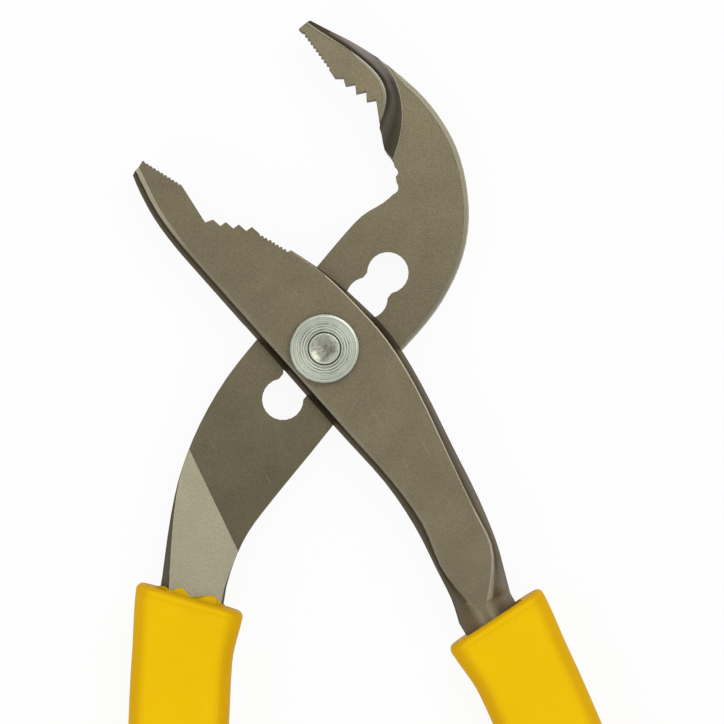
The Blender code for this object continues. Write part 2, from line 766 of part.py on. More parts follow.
def make_sleeve(name, handle, parent, material, parts, cutters):
    """The thick outer sleeve, closed at the handle's end."""
    line = handle_line(handle, SLEEVE_LENGTH)
    places = []
    for angle in (0, 30, 60, 90):
        turn = math.radians(angle)
        inset = SLEEVE_LIP_ROUND * (1 - math.sin(turn))
        places.append((SLEEVE_LIP_ROUND * (1 - math.cos(turn)), inset, line[0]))
    places += [(0.0, 0.0, place) for place in line[1:-1]]
    for angle in (0, 25, 50, 72):
        turn = math.radians(angle)
        shift = SLEEVE_END_ROUND * (math.sin(turn) - 1)
        places.append((shift, SLEEVE_END_ROUND * (1 - math.cos(turn)), line[-1]))
    rings = []
    for shift, inset, (along, point, heading) in places:
        moved = point + shift * Vector((math.cos(heading), math.sin(heading)))
        rings.append(sleeve_ring(handle, along, moved, heading, inset, SLEEVE_CORNER))
    sleeve = loft(name, rings, parts)
    grow = 2 * SEAT_GAP + LINER_WALL
    below = 2 * SEAT_GAP + LINER_END_WALL
    hollow = as_cutter(tang_form(f"{name}_cut", handle, grow, CUT_MARGIN, below, cutters))
    hollow.parent = parent
    cut(sleeve, hollow)
    return finish(sleeve, parent, material)


def main():
    clear_scene()
    parts = make_collection("water_pump_pliers")
    cutters = make_collection("cutters")
    steel = make_material("forged_steel", (0.190, 0.170, 0.115), 0.48, 1.0)
    zinc = make_material("zinc_plate", (0.62, 0.66, 0.58), 0.28, 1.0)
    spring_steel = make_material("washer_steel", (0.35, 0.34, 0.31), 0.40, 1.0)
    dip = make_material("dipped_liner", (0.80, 0.52, 0.01), 0.50, 0.0)
    vinyl = make_material("yellow_sleeve", (0.86, 0.55, 0.005), 0.38, 0.0)
    front = make_pivot("front_arm_axis", FRONT_ARM_ANGLE, parts)
    rear = make_pivot("rear_arm_axis", REAR_ARM_ANGLE, parts)
    stud = make_pivot("stud_axis", REAR_ARM_ANGLE, parts)
    make_front_arm(front, steel, parts, cutters)
    make_rear_arm(rear, steel, parts, cutters)
    make_stud(stud, zinc, parts, cutters)
    make_collar(stud, zinc, parts)
    make_washer(stud, spring_steel, parts)
    for side, handle, parent in (("front", FRONT_HANDLE, front), ("rear", REAR_HANDLE, rear)):
        make_liner(f"{side}_grip_liner", handle, parent, dip, parts, cutters)
        make_sleeve(f"{side}_grip_sleeve", handle, parent, vinyl, parts, cutters)


main()
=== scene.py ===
import json
import math

import bmesh
import bpy
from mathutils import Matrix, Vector

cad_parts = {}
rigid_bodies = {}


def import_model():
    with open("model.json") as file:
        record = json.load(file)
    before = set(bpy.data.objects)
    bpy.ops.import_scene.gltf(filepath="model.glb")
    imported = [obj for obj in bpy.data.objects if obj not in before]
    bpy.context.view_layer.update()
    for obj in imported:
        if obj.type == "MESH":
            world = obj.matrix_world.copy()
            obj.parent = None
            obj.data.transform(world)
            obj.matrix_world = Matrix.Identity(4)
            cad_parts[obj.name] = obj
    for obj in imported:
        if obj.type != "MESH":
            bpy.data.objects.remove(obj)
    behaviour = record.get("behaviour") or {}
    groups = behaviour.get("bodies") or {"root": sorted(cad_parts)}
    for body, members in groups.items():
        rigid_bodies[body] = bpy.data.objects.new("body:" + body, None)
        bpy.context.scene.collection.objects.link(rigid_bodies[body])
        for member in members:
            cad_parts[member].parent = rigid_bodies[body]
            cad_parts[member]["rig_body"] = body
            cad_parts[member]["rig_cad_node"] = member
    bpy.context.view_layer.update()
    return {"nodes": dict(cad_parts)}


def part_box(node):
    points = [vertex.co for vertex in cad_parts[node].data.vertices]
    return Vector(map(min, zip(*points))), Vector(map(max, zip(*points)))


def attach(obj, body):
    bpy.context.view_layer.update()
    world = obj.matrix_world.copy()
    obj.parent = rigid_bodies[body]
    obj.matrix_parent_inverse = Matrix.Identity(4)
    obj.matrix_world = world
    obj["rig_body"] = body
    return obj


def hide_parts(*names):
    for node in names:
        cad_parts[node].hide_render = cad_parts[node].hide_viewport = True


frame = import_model()

# The stage: a white sheet of paper under the pliers and a camera that looks straight down on them,
# as in a catalogue picture. The frame is square, and its scale is set on the collar's face.
PICTURE_SIDE = 724
METRES_PER_PIXEL = 0.00022
CAMERA_DISTANCE = 1.5
CAMERA_SEES = (0.01, 20.0)
VIEW_CENTRE = (0.00825, -0.00295)
SENSOR = 36.0
PAPER_SIDE = 8.0
PAPER_DROP = 0.0001
PAPER_WHITE = (0.90, 0.90, 0.90, 1.0)
PAPER_GLOW = 0.93
ROOM_WHITE = (1.0, 1.0, 1.0, 1.0)
ROOM_FILL = 0.80
SOFTBOX_SIDE = 0.40

collar_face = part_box("pivot_collar")[1].z
bpy.ops.object.camera_add(location=(*VIEW_CENTRE, collar_face + CAMERA_DISTANCE), rotation=(0, 0, 0))
camera = bpy.context.object
camera.name = "catalogue_camera"
camera.data.sensor_width = SENSOR
camera.data.lens = SENSOR * CAMERA_DISTANCE / (PICTURE_SIDE * METRES_PER_PIXEL)
camera.data.clip_start, camera.data.clip_end = CAMERA_SEES
bpy.context.scene.camera = camera
bpy.context.scene.view_settings.view_transform = "Standard"


def rays_that_show_white(nodes, links):
    """A mask of the rays that see the white surroundings: camera, glossy and transmission rays."""
    path = nodes.new("ShaderNodeLightPath")
    total = path.outputs["Is Camera Ray"]
    for name in ("Is Glossy Ray", "Is Transmission Ray"):
        larger = nodes.new("ShaderNodeMath")
        larger.operation = "MAXIMUM"
        links.new(total, larger.inputs[0])
        links.new(path.outputs[name], larger.inputs[1])
        total = larger.outputs["Value"]
    return total


paper = bpy.data.materials.new("white_paper")
paper.use_nodes = True
nodes = paper.node_tree.nodes
links = paper.node_tree.links
nodes.clear()
output = nodes.new("ShaderNodeOutputMaterial")
blend = nodes.new("ShaderNodeMixShader")
matt = nodes.new("ShaderNodeBsdfDiffuse")
matt.inputs["Color"].default_value = PAPER_WHITE
glow = nodes.new("ShaderNodeEmission")
share = nodes.new("ShaderNodeMath")
share.operation = "MULTIPLY"
share.inputs[1].default_value = PAPER_GLOW
links.new(rays_that_show_white(nodes, links), share.inputs[0])
links.new(share.outputs["Value"], blend.inputs["Fac"])
links.new(matt.outputs["BSDF"], blend.inputs[1])
links.new(glow.outputs["Emission"], blend.inputs[2])
links.new(blend.outputs["Shader"], output.inputs["Surface"])

bpy.ops.mesh.primitive_plane_add(size=PAPER_SIDE, location=(0, 0, -PAPER_DROP))
sheet = bpy.context.object
sheet.name = "paper_sheet"
sheet.data.materials.append(paper)

room = bpy.data.worlds.new("white_room")
bpy.context.scene.world = room
room.use_nodes = True
nodes = room.node_tree.nodes
links = room.node_tree.links
background = nodes["Background"]
background.inputs["Color"].default_value = ROOM_WHITE
level = nodes.new("ShaderNodeMapRange")
level.inputs["To Min"].default_value = ROOM_FILL
level.inputs["To Max"].default_value = 1.0
links.new(rays_that_show_white(nodes, links), level.inputs["Value"])
links.new(level.outputs["Result"], background.inputs["Strength"])


def add_softbox(name, place, aim, power):
    bpy.ops.object.light_add(type="AREA", location=place)
    lamp = bpy.context.object
    lamp.name = name
    lamp.data.shape = "SQUARE"
    lamp.data.size = SOFTBOX_SIDE
    lamp.data.energy = power
    lamp.rotation_euler = (Vector(aim) - Vector(place)).to_track_quat("-Z", "Y").to_euler()


add_softbox("softbox_over_jaws", (0.30, 0.36, 0.95), (0.0, 0.02, 0.0), 2.2)
add_softbox("softbox_left", (-0.62, -0.42, 0.75), (0.0, 0.0, 0.0), 0.8)


# Stud: a turned steel pin with a flat round head at the back, zinc plated. Its keyed shank carries
# both arms, and its thin end is hammered over into the collar, which leaves a dull, dimpled face.
STUD_EDGE = 0.00012
SHARP_ANGLE = 32
FLAT_ANGLE = 0.5
# Corners this close are one, the ends of a needle face are this close, and heights this close are equal
ONE_CORNER = 0.000001
NEEDLE_END = 0.000005
HAIR = 0.00002
PEEN_RADIUS = 0.00352
PEEN_HEIGHT = 0.0006
PEEN_SMOOTH = 40
FACES_UP = 0.99
LEANS_UP = 0.80
DISH_RINGS = 4
DISH_WIDTH = 0.0028
DISH_DEPTH = 0.00005
DENTED_RADIUS = 0.0027
DENT_DEPTH = 0.00012
DENT_SEED = 7
ZINC = (0.425, 0.448, 0.374)
ZINC_HAMMERED = (0.245, 0.248, 0.198)
ZINC_SCRATCH = (0.75, 0.78, 0.72)
# The marks' fineness is in cells per metre
GRAIN_FINENESS = 3600.0
PATCH_FINENESS = 120.0
SCRATCH_FINENESS = 2600.0
SCRATCH_TURNS = (1.15, 2.05)
SCRATCH_STRETCH = 30.0
SCRATCH_STRENGTH = 0.22
RING_FINENESS = 3000.0
DENT_FINENESS = 640.0


def activate(piece):
    """Selects one object alone, so that an operator works on nothing else."""
    bpy.ops.object.select_all(action="DESELECT")
    piece.select_set(True)
    bpy.context.view_layer.objects.active = piece


def merged_copy(node, name):
    """A copy of a CAD node with its loose triangles merged and its flat faces made whole."""
    source = frame["nodes"][node]
    piece = source.copy()
    piece.data = source.data.copy()
    piece.name = name
    piece.data.name = name
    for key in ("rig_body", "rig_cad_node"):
        if key in piece:
            del piece[key]
    piece.parent = None
    piece.data.materials.clear()
    bpy.context.scene.collection.objects.link(piece)
    activate(piece)
    bpy.ops.mesh.customdata_custom_splitnormals_clear()
    bpy.ops.object.mode_set(mode="EDIT")
    bpy.ops.mesh.select_all(action="SELECT")
    bpy.ops.mesh.remove_doubles(threshold=ONE_CORNER)
    bpy.ops.mesh.dissolve_limited(angle_limit=math.radians(FLAT_ANGLE))
    bpy.ops.object.mode_set(mode="OBJECT")
    return piece


def select_faces(piece, wanted):
    """Selects, in edit mode, the faces that a test of their middle and normal picks."""
    bpy.ops.mesh.select_mode(type="FACE")
    bpy.ops.mesh.select_all(action="DESELECT")
    shape = bmesh.from_edit_mesh(piece.data)
    for face in shape.faces:
        if wanted(face.calc_center_median(), face.normal):
            face.select_set(True)
    bmesh.update_edit_mesh(piece.data)


def apply_modifiers(piece):
    activate(piece)
    for modifier in list(piece.modifiers):
        bpy.ops.object.modifier_apply(modifier=modifier.name)


def soften_edges(piece, width):
    """A fine bevel on every sharp edge, without needle faces, then even shading on the flat faces."""
    bevel = piece.modifiers.new("edges", "BEVEL")
    bevel.width = width
    bevel.segments = 2
    bevel.limit_method = "ANGLE"
    bevel.angle_limit = math.radians(SHARP_ANGLE)
    apply_modifiers(piece)
    bpy.ops.object.mode_set(mode="EDIT")
    bpy.ops.mesh.select_all(action="SELECT")
    bpy.ops.mesh.remove_doubles(threshold=NEEDLE_END)
    bpy.ops.object.mode_set(mode="OBJECT")
    bpy.ops.object.shade_smooth_by_angle(angle=math.radians(SHARP_ANGLE))
    even = piece.modifiers.new("even", "WEIGHTED_NORMAL")
    even.keep_sharp = True
    apply_modifiers(piece)


def add_noise(tree, vector, scale, detail):
    noise = tree.nodes.new("ShaderNodeTexNoise")
    noise.inputs["Scale"].default_value = scale
    noise.inputs["Detail"].default_value = detail
    tree.links.new(vector, noise.inputs["Vector"])
    return noise.outputs["Fac"]


def add_range(tree, value, low, high, to_low, to_high):
    reach = tree.nodes.new("ShaderNodeMapRange")
    reach.inputs["From Min"].default_value = low
    reach.inputs["From Max"].default_value = high
    reach.inputs["To Min"].default_value = to_low
    reach.inputs["To Max"].default_value = to_high
    tree.links.new(value, reach.inputs["Value"])
    return reach.outputs["Result"]


def add_math(tree, operation, first, second):
    node = tree.nodes.new("ShaderNodeMath")
    node.operation = operation
    for value, socket in zip((first, second), node.inputs):
        if isinstance(value, float):
            socket.default_value = value
        else:
            tree.links.new(value, socket)
    return node.outputs["Value"]


def add_mix(tree, blend_type, factor, first, second):
    node = tree.nodes.new("ShaderNodeMix")
    node.data_type = "RGBA"
    node.blend_type = blend_type
    sockets = (node.inputs[0], node.inputs[6], node.inputs[7])
    for value, socket in zip((factor, first, second), sockets):
        if isinstance(value, float):
            socket.default_value = value
        elif isinstance(value, tuple):
            socket.default_value = (*value, 1.0)
        else:
            tree.links.new(value, socket)
    return node.outputs[2]


def add_split(tree, vector):
    """The three parts of a vector, by the names X, Y and Z."""
    split = tree.nodes.new("ShaderNodeSeparateXYZ")
    tree.links.new(vector, split.inputs["Vector"])
    return split.outputs


def add_group(tree, group, vector):
    """A node group put to work at a place: its outputs by name."""
    node = tree.nodes.new("ShaderNodeGroup")
    node.node_tree = group
    tree.links.new(vector, node.inputs["Vector"])
    return node.outputs


def start_group(name, outputs):
    """A node group that takes a place: its tree, that place, and the ends of the values it gives."""
    tree = bpy.data.node_groups.new(name, "ShaderNodeTree")
    tree.interface.new_socket("Vector", in_out="INPUT", socket_type="NodeSocketVector")
    for output in outputs:
        tree.interface.new_socket(output, in_out="OUTPUT", socket_type="NodeSocketFloat")
    start = tree.nodes.new("NodeGroupInput")
    end = tree.nodes.new("NodeGroupOutput")
    return tree, start.outputs["Vector"], end.inputs


def make_marks_group():
    """Fine blasted grain, soft patches and a few thin scratches, for every metal of the pliers."""
    tree, vector, ends = start_group("metal_marks", ("Grain", "Patches", "Scratches"))
    tree.links.new(add_noise(tree, vector, GRAIN_FINENESS, 2.0), ends["Grain"])
    tree.links.new(add_noise(tree, vector, PATCH_FINENESS, 3.0), ends["Patches"])
    lines = []
    for turn in SCRATCH_TURNS:
        mapping = tree.nodes.new("ShaderNodeMapping")
        mapping.vector_type = "TEXTURE"
        mapping.inputs["Rotation"].default_value = (0.0, 0.0, turn)
        mapping.inputs["Scale"].default_value = (SCRATCH_STRETCH, 1.0, SCRATCH_STRETCH)
        tree.links.new(vector, mapping.inputs["Vector"])
        streak = add_noise(tree, mapping.outputs["Vector"], SCRATCH_FINENESS, 1.0)
        lines.append(add_range(tree, streak, 0.74, 0.82, 0.0, 1.0))
    tree.links.new(add_math(tree, "MAXIMUM", *lines), ends["Scratches"])
    return tree


metal_marks = make_marks_group()


def start_material(name):
    """A new material with its tree, its shader, and Object coordinates."""
    material = bpy.data.materials.new(name)
    material.use_nodes = True
    tree = material.node_tree
    where = tree.nodes.new("ShaderNodeTexCoord")
    return material, tree, tree.nodes["Principled BSDF"], where.outputs["Object"]


def start_metal(name, roughness):
    """A metal material with its shader, and the marks group on Object coordinates."""
    material, tree, shader, where = start_material(name)
    shader.inputs["Metallic"].default_value = 1.0
    marks = add_group(tree, metal_marks, where)
    rough = add_range(tree, marks["Patches"], 0.3, 0.7, roughness - 0.04, roughness + 0.04)
    tree.links.new(rough, shader.inputs["Roughness"])
    return material, tree, shader, where, marks


def add_bump(tree, shader, height, distance, strength):
    bump = tree.nodes.new("ShaderNodeBump")
    bump.inputs["Distance"].default_value = distance
    bump.inputs["Strength"].default_value = strength
    tree.links.new(height, bump.inputs["Height"])
    tree.links.new(bump.outputs["Normal"], shader.inputs["Normal"])


def marked_tone(tree, marks, colour, grain, patches, scratch):
    """A colour made lighter and darker by the grain and the patches, with pale scratches on it."""
    fine = add_range(tree, marks["Grain"], 0.25, 0.75, 1.0 - grain, 1.0 + grain)
    broad = add_range(tree, marks["Patches"], 0.3, 0.7, 1.0 - patches, 1.0 + patches)
    tone = add_mix(tree, "MULTIPLY", 1.0, colour, add_math(tree, "MULTIPLY", fine, broad))
    line = add_math(tree, "MULTIPLY", marks["Scratches"], SCRATCH_STRENGTH)
    return add_mix(tree, "MIX", line, tone, scratch)


def make_axis_group():
    """The distance from the stud's axis, lathe rings of uneven width and strength, and soft dents."""
    tree, vector, ends = start_group("about_the_axis", ("Radius", "Rings", "Dents"))
    place = add_split(tree, vector)
    squares = [add_math(tree, "MULTIPLY", place[axis], place[axis]) for axis in "XY"]
    radius = add_math(tree, "POWER", add_math(tree, "ADD", *squares), 0.5)
    tree.links.new(radius, ends["Radius"])
    rings = tree.nodes.new("ShaderNodeTexNoise")
    rings.noise_dimensions = "1D"
    rings.inputs["Scale"].default_value = RING_FINENESS
    rings.inputs["Detail"].default_value = 3.0
    rings.inputs["Roughness"].default_value = 0.65
    tree.links.new(radius, rings.inputs["W"])
    tree.links.new(rings.outputs["Fac"], ends["Rings"])
    tree.links.new(add_noise(tree, vector, DENT_FINENESS, 3.0), ends["Dents"])
    return tree


about_the_axis = make_axis_group()


def start_zinc(name, colour, roughness):
    """Zinc plate with its marks, and the group that draws rings and dents about the stud's axis."""
    material, tree, shader, where, marks = start_metal(name, roughness)
    axis = add_group(tree, about_the_axis, where)
    toned = marked_tone(tree, marks, colour, 0.06, 0.08, ZINC_SCRATCH)
    return material, tree, shader, axis, toned


# The lathe's finish spreads a highlight across its rings
turned_zinc, tree, shader, axis, toned = start_zinc("turned_zinc", ZINC, 0.37)
broken = add_range(tree, axis["Dents"], 0.35, 0.65, 0.30, 1.0)
fine = add_range(tree, axis["Rings"], 0.34, 0.66, -0.72, 0.42)
line = add_math(tree, "ADD", add_math(tree, "MULTIPLY", fine, broken), 1.0)
tree.links.new(add_mix(tree, "MULTIPLY", 1.0, toned, line), shader.inputs["Base Color"])
add_bump(tree, shader, axis["Rings"], 0.00002, 0.4)
shader.inputs["Anisotropic"].default_value = 0.34
shader.inputs["Anisotropic Rotation"].default_value = 0.25
tangent = tree.nodes.new("ShaderNodeTangent")
tangent.direction_type = "RADIAL"
tangent.axis = "Z"
tree.links.new(tangent.outputs["Tangent"], shader.inputs["Tangent"])

# The peened face is dull and dented in the middle, and lighter towards its edge
hammered_zinc, tree, shader, axis, toned = start_zinc("hammered_zinc", ZINC_HAMMERED, 0.36)
edge = add_range(tree, axis["Radius"], 0.0017, 0.0033, 0.86, 1.45)
dent = add_range(tree, axis["Dents"], 0.36, 0.64, 0.55, 1.35)
beaten = add_math(tree, "MULTIPLY", edge, dent)
tree.links.new(add_mix(tree, "MULTIPLY", 1.0, toned, beaten), shader.inputs["Base Color"])
add_bump(tree, shader, axis["Dents"], 0.00015, 0.5)

stud = merged_copy("pivot_stud", "stud_zinc")
stud_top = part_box("pivot_stud")[1].z
stud.data.materials.append(turned_zinc)
stud.data.materials.append(hammered_zinc)
soften_edges(stud, STUD_EDGE)
activate(stud)
bpy.ops.object.mode_set(mode="EDIT")
select_faces(stud, lambda middle, normal: normal.z > FACES_UP and middle.z > stud_top - HAIR)
stud.active_material_index = 1
bpy.ops.object.material_slot_assign()
bpy.ops.transform.translate(value=(0, 0, -DENT_DEPTH))
for _ in range(DISH_RINGS):
    bpy.ops.mesh.inset(thickness=DISH_WIDTH / DISH_RINGS)
    bpy.ops.transform.translate(value=(0, 0, -DISH_DEPTH))
bpy.ops.mesh.poke()
select_faces(stud, lambda middle, normal: normal.z > LEANS_UP and middle.xy.length < DENTED_RADIUS)
bpy.ops.transform.vertex_random(offset=DENT_DEPTH, uniform=0.0, normal=0.0, seed=DENT_SEED)
bpy.ops.mesh.vertices_smooth(factor=0.5, repeat=2)
select_faces(stud, lambda middle, normal: middle.z > stud_top - PEEN_HEIGHT)
shape = bmesh.from_edit_mesh(stud.data)
peen = max(vertex.co.xy.length for vertex in shape.verts if vertex.select)
spread = PEEN_RADIUS / peen
bpy.ops.transform.resize(value=(spread, spread, 1), center_override=(0, 0, stud_top))
bpy.ops.object.mode_set(mode="OBJECT")
bpy.ops.object.shade_smooth_by_angle(angle=math.radians(PEEN_SMOOTH))
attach(stud, "front_half")
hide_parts("pivot_stud")


# Washer: a thin rolled steel ring between the stud's head and the rear arm's back, loose on the shank.
# It is stamped, so its edges are a little rounded and its faces keep the mill's dull grey.
WASHER_EDGE = 0.00015
WASHER_GREY = (0.30, 0.29, 0.26)
WASHER_SCRATCH = (0.50, 0.49, 0.45)


def make_plain_steel(name, colour, scratch, roughness, grain, patches):
    """Steel of one even finish, and its shader."""
    material, tree, shader, _, marks = start_metal(name, roughness)
    toned = marked_tone(tree, marks, colour, grain, patches, scratch)
    tree.links.new(toned, shader.inputs["Base Color"])
    add_bump(tree, shader, marks["Grain"], 0.00003, 0.4)
    return material, shader


washer_steel, _ = make_plain_steel("washer_steel", WASHER_GREY, WASHER_SCRATCH, 0.40, 0.08, 0.14)

washer = merged_copy("rear_washer", "washer_ring")
washer.data.materials.append(washer_steel)
soften_edges(washer, WASHER_EDGE)
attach(washer, "washer")
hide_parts("rear_washer")


# Rear arm: a drop-forged alloy steel half with its hooked jaw, slotted lap and tang in one piece.
# Its flat faces are ground and blasted, and its sides keep the dark forged skin, with painted shade just
# under the rim and a painted reflection paler towards the parting line. Painted light makes it lighter or
# darker along the arm, and its sides facing right lighter than those facing left. Its edges are rubbed
# bright, with painted light dimming those facing left, its ramp is painted lighter as a painted highlight,
# and a dark cove is left where the jaw thickens, with painted shade at its foot and painted highlights.
ARM, COVE, LINE, RAMP = range(4)
REAR_ANGLE = math.radians(50.3)
ARM_MIDDLE = 0.00945
REAR_LAP = 0.0093
FRONT_FACE = 0.0151
EDGE_BEVEL = 0.00014
JAW_EDGE_BEVEL = 0.00080
JAW_EDGE_NEAR = 0.00004
FOOT_LINE = 0.00020
FOOT_NEAR = 0.0004
THROAT_FROM = 0.045
THROAT_FACES = -0.9
THROAT_TOP = 0.0001
# The slot's half width and its two ends, in the arm's own directions
SLOT_HALF = 0.0060
SLOT_ENDS = (-0.030, 0.036)
# The heel's sides stand upright, and face along the arm past the first share or across it past the second
HEEL_SIDE = 0.6
HEEL_FACES = (0.5, -0.3)
HEEL_BEVEL = 0.00130
HEEL_STEPS = 5
HEEL_DROP = 0.00062
# Where the rounding tapers off, by how much, and how far out along its direction the outline lies
HEEL_TAPER = (0.0590, 0.0609)
HEEL_NARROWS = 0.95
HEEL_OUT = Vector((0.65, 0.76, 0.0))
HEEL_EDGE = 0.05668
# A lean is the range of the upward part of a face's normal
REAR_RIM_DEPTH = 0.0003
REAR_RIM_LEAN = (0.80, 0.98)
COVE_STARTS = 0.038
COVE_TOP = 0.0005
COVE_LEAN = (0.02, 0.9965)
RAMP_STARTS = -0.02
RAMP_LEAN = (0.90, 0.9965)
GROUND = (0.149, 0.128, 0.081)
RUBBED = (0.310, 0.282, 0.205)
# A painted highlight: the rear ramp's ground steel, painted lighter where it tilts towards the light
RAMP_PAINTED_HIGHLIGHT = (0.222, 0.202, 0.142)
# Painted shade just under the rim over the dark forged skin, and a painted reflection paler near the
# parting line
FORGED_SKIN_AND_SHADE = (0.098, 0.084, 0.064)
PARTING_PAINTED_REFLECTION = (0.175, 0.156, 0.132)
ROUNDED_EDGE = (0.800, 0.755, 0.670)
# Painted highlights on the cove's wall below the teeth and on its back near the tip
COVE_WALL_HIGHLIGHT = (0.400, 0.350, 0.270)
COVE_BACK_HIGHLIGHT = (0.300, 0.272, 0.246)
# The cove's dark skin from its upright wall to its level foot, with a painted highlight streak across its
# middle and painted shade darkest at its foot
COVE_SKIN_AND_LIGHT_STOPS = (
    (0.00, (0.075, 0.064, 0.048)),
    (0.30, (0.085, 0.073, 0.056)),
    (0.55, (0.180, 0.158, 0.142)),
    (0.72, (0.118, 0.103, 0.088)),
    (0.88, (0.062, 0.053, 0.038)),
    (1.00, (0.055, 0.046, 0.032)),
)
SCRATCH = (0.34, 0.31, 0.24)
COVE_SCRATCH = (0.12, 0.11, 0.09)
STEEL_EDGE = (0.42, 0.39, 0.34, 1.0)


def add_lean(tree):
    """The way the surface faces, by the names X, Y and Z."""
    surface = tree.nodes.new("ShaderNodeNewGeometry")
    return add_split(tree, surface.outputs["Normal"])


def start_steel(name, roughness):
    """Forged steel, which dulls towards its edges, with its marks, the way it faces and its place."""
    material, tree, shader, where, marks = start_metal(name, roughness)
    shader.inputs["Specular Tint"].default_value = STEEL_EDGE
    return material, tree, shader, marks, add_lean(tree), add_split(tree, where)


def make_arm_steel(name, painted_light_low, painted_light_high, painted_light_left_low):
    """Ground faces and forged sides, told apart by how far the surface faces up or down, both with painted
    light.
    """
    material, tree, shader, marks, lean, place = start_steel(name, 0.40)
    facing = add_math(tree, "ABSOLUTE", lean["Z"], 0.0)
    height = add_math(tree, "SUBTRACT", place["Z"], ARM_MIDDLE)
    off_parting = add_math(tree, "ABSOLUTE", height, 0.0)
    # Painted shade on the sides just under the rim, and a painted reflection paler near the parting line
    painted_reflection_band = add_range(tree, off_parting, 0.0022, 0.0046, 1.0, 0.0)
    skin = add_mix(tree, "MIX", painted_reflection_band, FORGED_SKIN_AND_SHADE, PARTING_PAINTED_REFLECTION)
    # Painted light: sides facing right are painted lighter and those facing left darker
    turned = add_range(tree, lean["X"], -0.7, 0.7, 0.75, 1.25)
    to_right = add_range(tree, lean["X"], -0.7, 0.7, 0.0, 1.0)
    # Painted light: faces and sides lighter or darker along the arm, sides facing left by their own range
    painted_light_along = add_range(tree, place["Y"], -0.05, 0.07, painted_light_low, painted_light_high)
    painted_light_along_left = add_range(tree, place["Y"], -0.05, 0.07, painted_light_left_low, painted_light_high)
    painted_light_on_sides = add_mix(tree, "MIX", to_right, painted_light_along_left, painted_light_along)
    side = add_mix(tree, "MULTIPLY", 1.0, add_mix(tree, "MULTIPLY", 1.0, skin, turned), painted_light_on_sides)
    face = add_mix(tree, "MULTIPLY", 1.0, GROUND, painted_light_along)
    # The ground faces and forged sides together, carrying the painted light and shade above
    finish = add_mix(tree, "MIX", add_range(tree, facing, 0.40, 0.92, 0.0, 1.0), side, face)
    tree.links.new(marked_tone(tree, marks, finish, 0.20, 0.07, SCRATCH), shader.inputs["Base Color"])
    add_bump(tree, shader, marks["Grain"], 0.00004, 0.5)
    return material


def make_cove_skin_painted_light():
    """The cove's dark forged scale, with painted shade at its foot and painted highlights on its hollow,
    wall and back.
    """
    material, tree, shader, marks, lean, place = start_steel("cove_skin_painted_light", 0.42)
    ramp = tree.nodes.new("ShaderNodeValToRGB")
    while len(ramp.color_ramp.elements) < len(COVE_SKIN_AND_LIGHT_STOPS):
        ramp.color_ramp.elements.new(0.5)
    for element, (position, colour) in zip(ramp.color_ramp.elements, COVE_SKIN_AND_LIGHT_STOPS):
        element.position = position
        element.color = (*colour, 1.0)
    tree.links.new(lean["Z"], ramp.inputs["Fac"])
    # Painted highlight on the steep wall below the teeth
    steep = add_range(tree, lean["Z"], 0.40, 0.70, 1.0, 0.0)
    below_teeth = add_range(tree, place["Y"], 0.060, 0.050, 0.0, 1.0)
    wall_highlight = add_math(tree, "MULTIPLY", steep, below_teeth)
    wall = add_mix(tree, "MIX", wall_highlight, ramp.outputs["Color"], COVE_WALL_HIGHLIGHT)
    # Painted highlight on the cove's back near the tip
    hollow = add_range(tree, lean["Z"], 0.40, 0.60, 0.0, 1.0)
    near_tip = add_range(tree, place["Y"], 0.059, 0.067, 0.0, 1.0)
    back_highlight = add_math(tree, "MULTIPLY", hollow, near_tip)
    skin = add_mix(tree, "MIX", back_highlight, wall, COVE_BACK_HIGHLIGHT)
    toned = marked_tone(tree, marks, skin, 0.12, 0.10, COVE_SCRATCH)
    tree.links.new(toned, shader.inputs["Base Color"])
    add_bump(tree, shader, marks["Grain"], 0.00004, 0.5)
    return material


def make_rubbed_line(name, fade_from, fade_to, faded, raised, turned, flat):
    """Edges rubbed bare, brightest where they turn down to the side and fading into the flat face; painted
    light dims those facing left.
    """
    material, tree, shader, marks, lean, place = start_steel(name, 0.46)
    facing = add_math(tree, "ABSOLUTE", lean["Z"], 0.0)
    inner = add_range(tree, place["X"], -0.028, -0.042, 0.60, 1.15)
    # Painted light: edges facing right are painted brighter than those facing left
    outer = add_range(tree, lean["X"], -0.1, 0.1, 0.0, 1.0)
    near_jaw = add_range(tree, place["Y"], fade_from, fade_to, faded, 1.0)
    wear_and_painted_light = add_math(tree, "MAXIMUM", inner, add_math(tree, "MULTIPLY", outer, near_jaw))
    high = add_range(tree, place["Z"], REAR_LAP + 0.001, FRONT_FACE - 0.001, 1.0, raised)
    fading = add_range(tree, facing, 0.75, 0.99, turned, flat)
    bare = add_mix(tree, "MULTIPLY", 1.0, RUBBED, add_math(tree, "MULTIPLY", wear_and_painted_light, fading))
    edge = add_mix(tree, "MIX", add_range(tree, facing, 0.45, 0.75, 0.0, 1.0), ROUNDED_EDGE, bare)
    tone = add_mix(tree, "MULTIPLY", 1.0, edge, high)
    tree.links.new(marked_tone(tree, marks, tone, 0.16, 0.12, SCRATCH), shader.inputs["Base Color"])
    add_bump(tree, shader, marks["Grain"], 0.00003, 0.4)
    return material


rear_steel = make_arm_steel("rear_arm_steel", 0.69, 1.23, 1.12)
cove_skin_painted_light = make_cove_skin_painted_light()
rear_line = make_rubbed_line("rear_rubbed_line", 0.020, 0.032, 0.85, 0.86, 1.35, 0.66)
# The rear ramp's steel, lighter than the faces as a painted highlight
ramp_steel_painted_light, shader = make_plain_steel("ramp_steel_painted_light", RAMP_PAINTED_HIGHLIGHT, SCRATCH, 0.42, 0.16, 0.05)
shader.inputs["Specular Tint"].default_value = STEEL_EDGE


def in_arm(point, angle):
    """A place in an arm's own directions: along it towards the jaw, and across it."""
    return (
        point.x * math.cos(angle) + point.y * math.sin(angle),
        point.y * math.cos(angle) - point.x * math.sin(angle),
    )


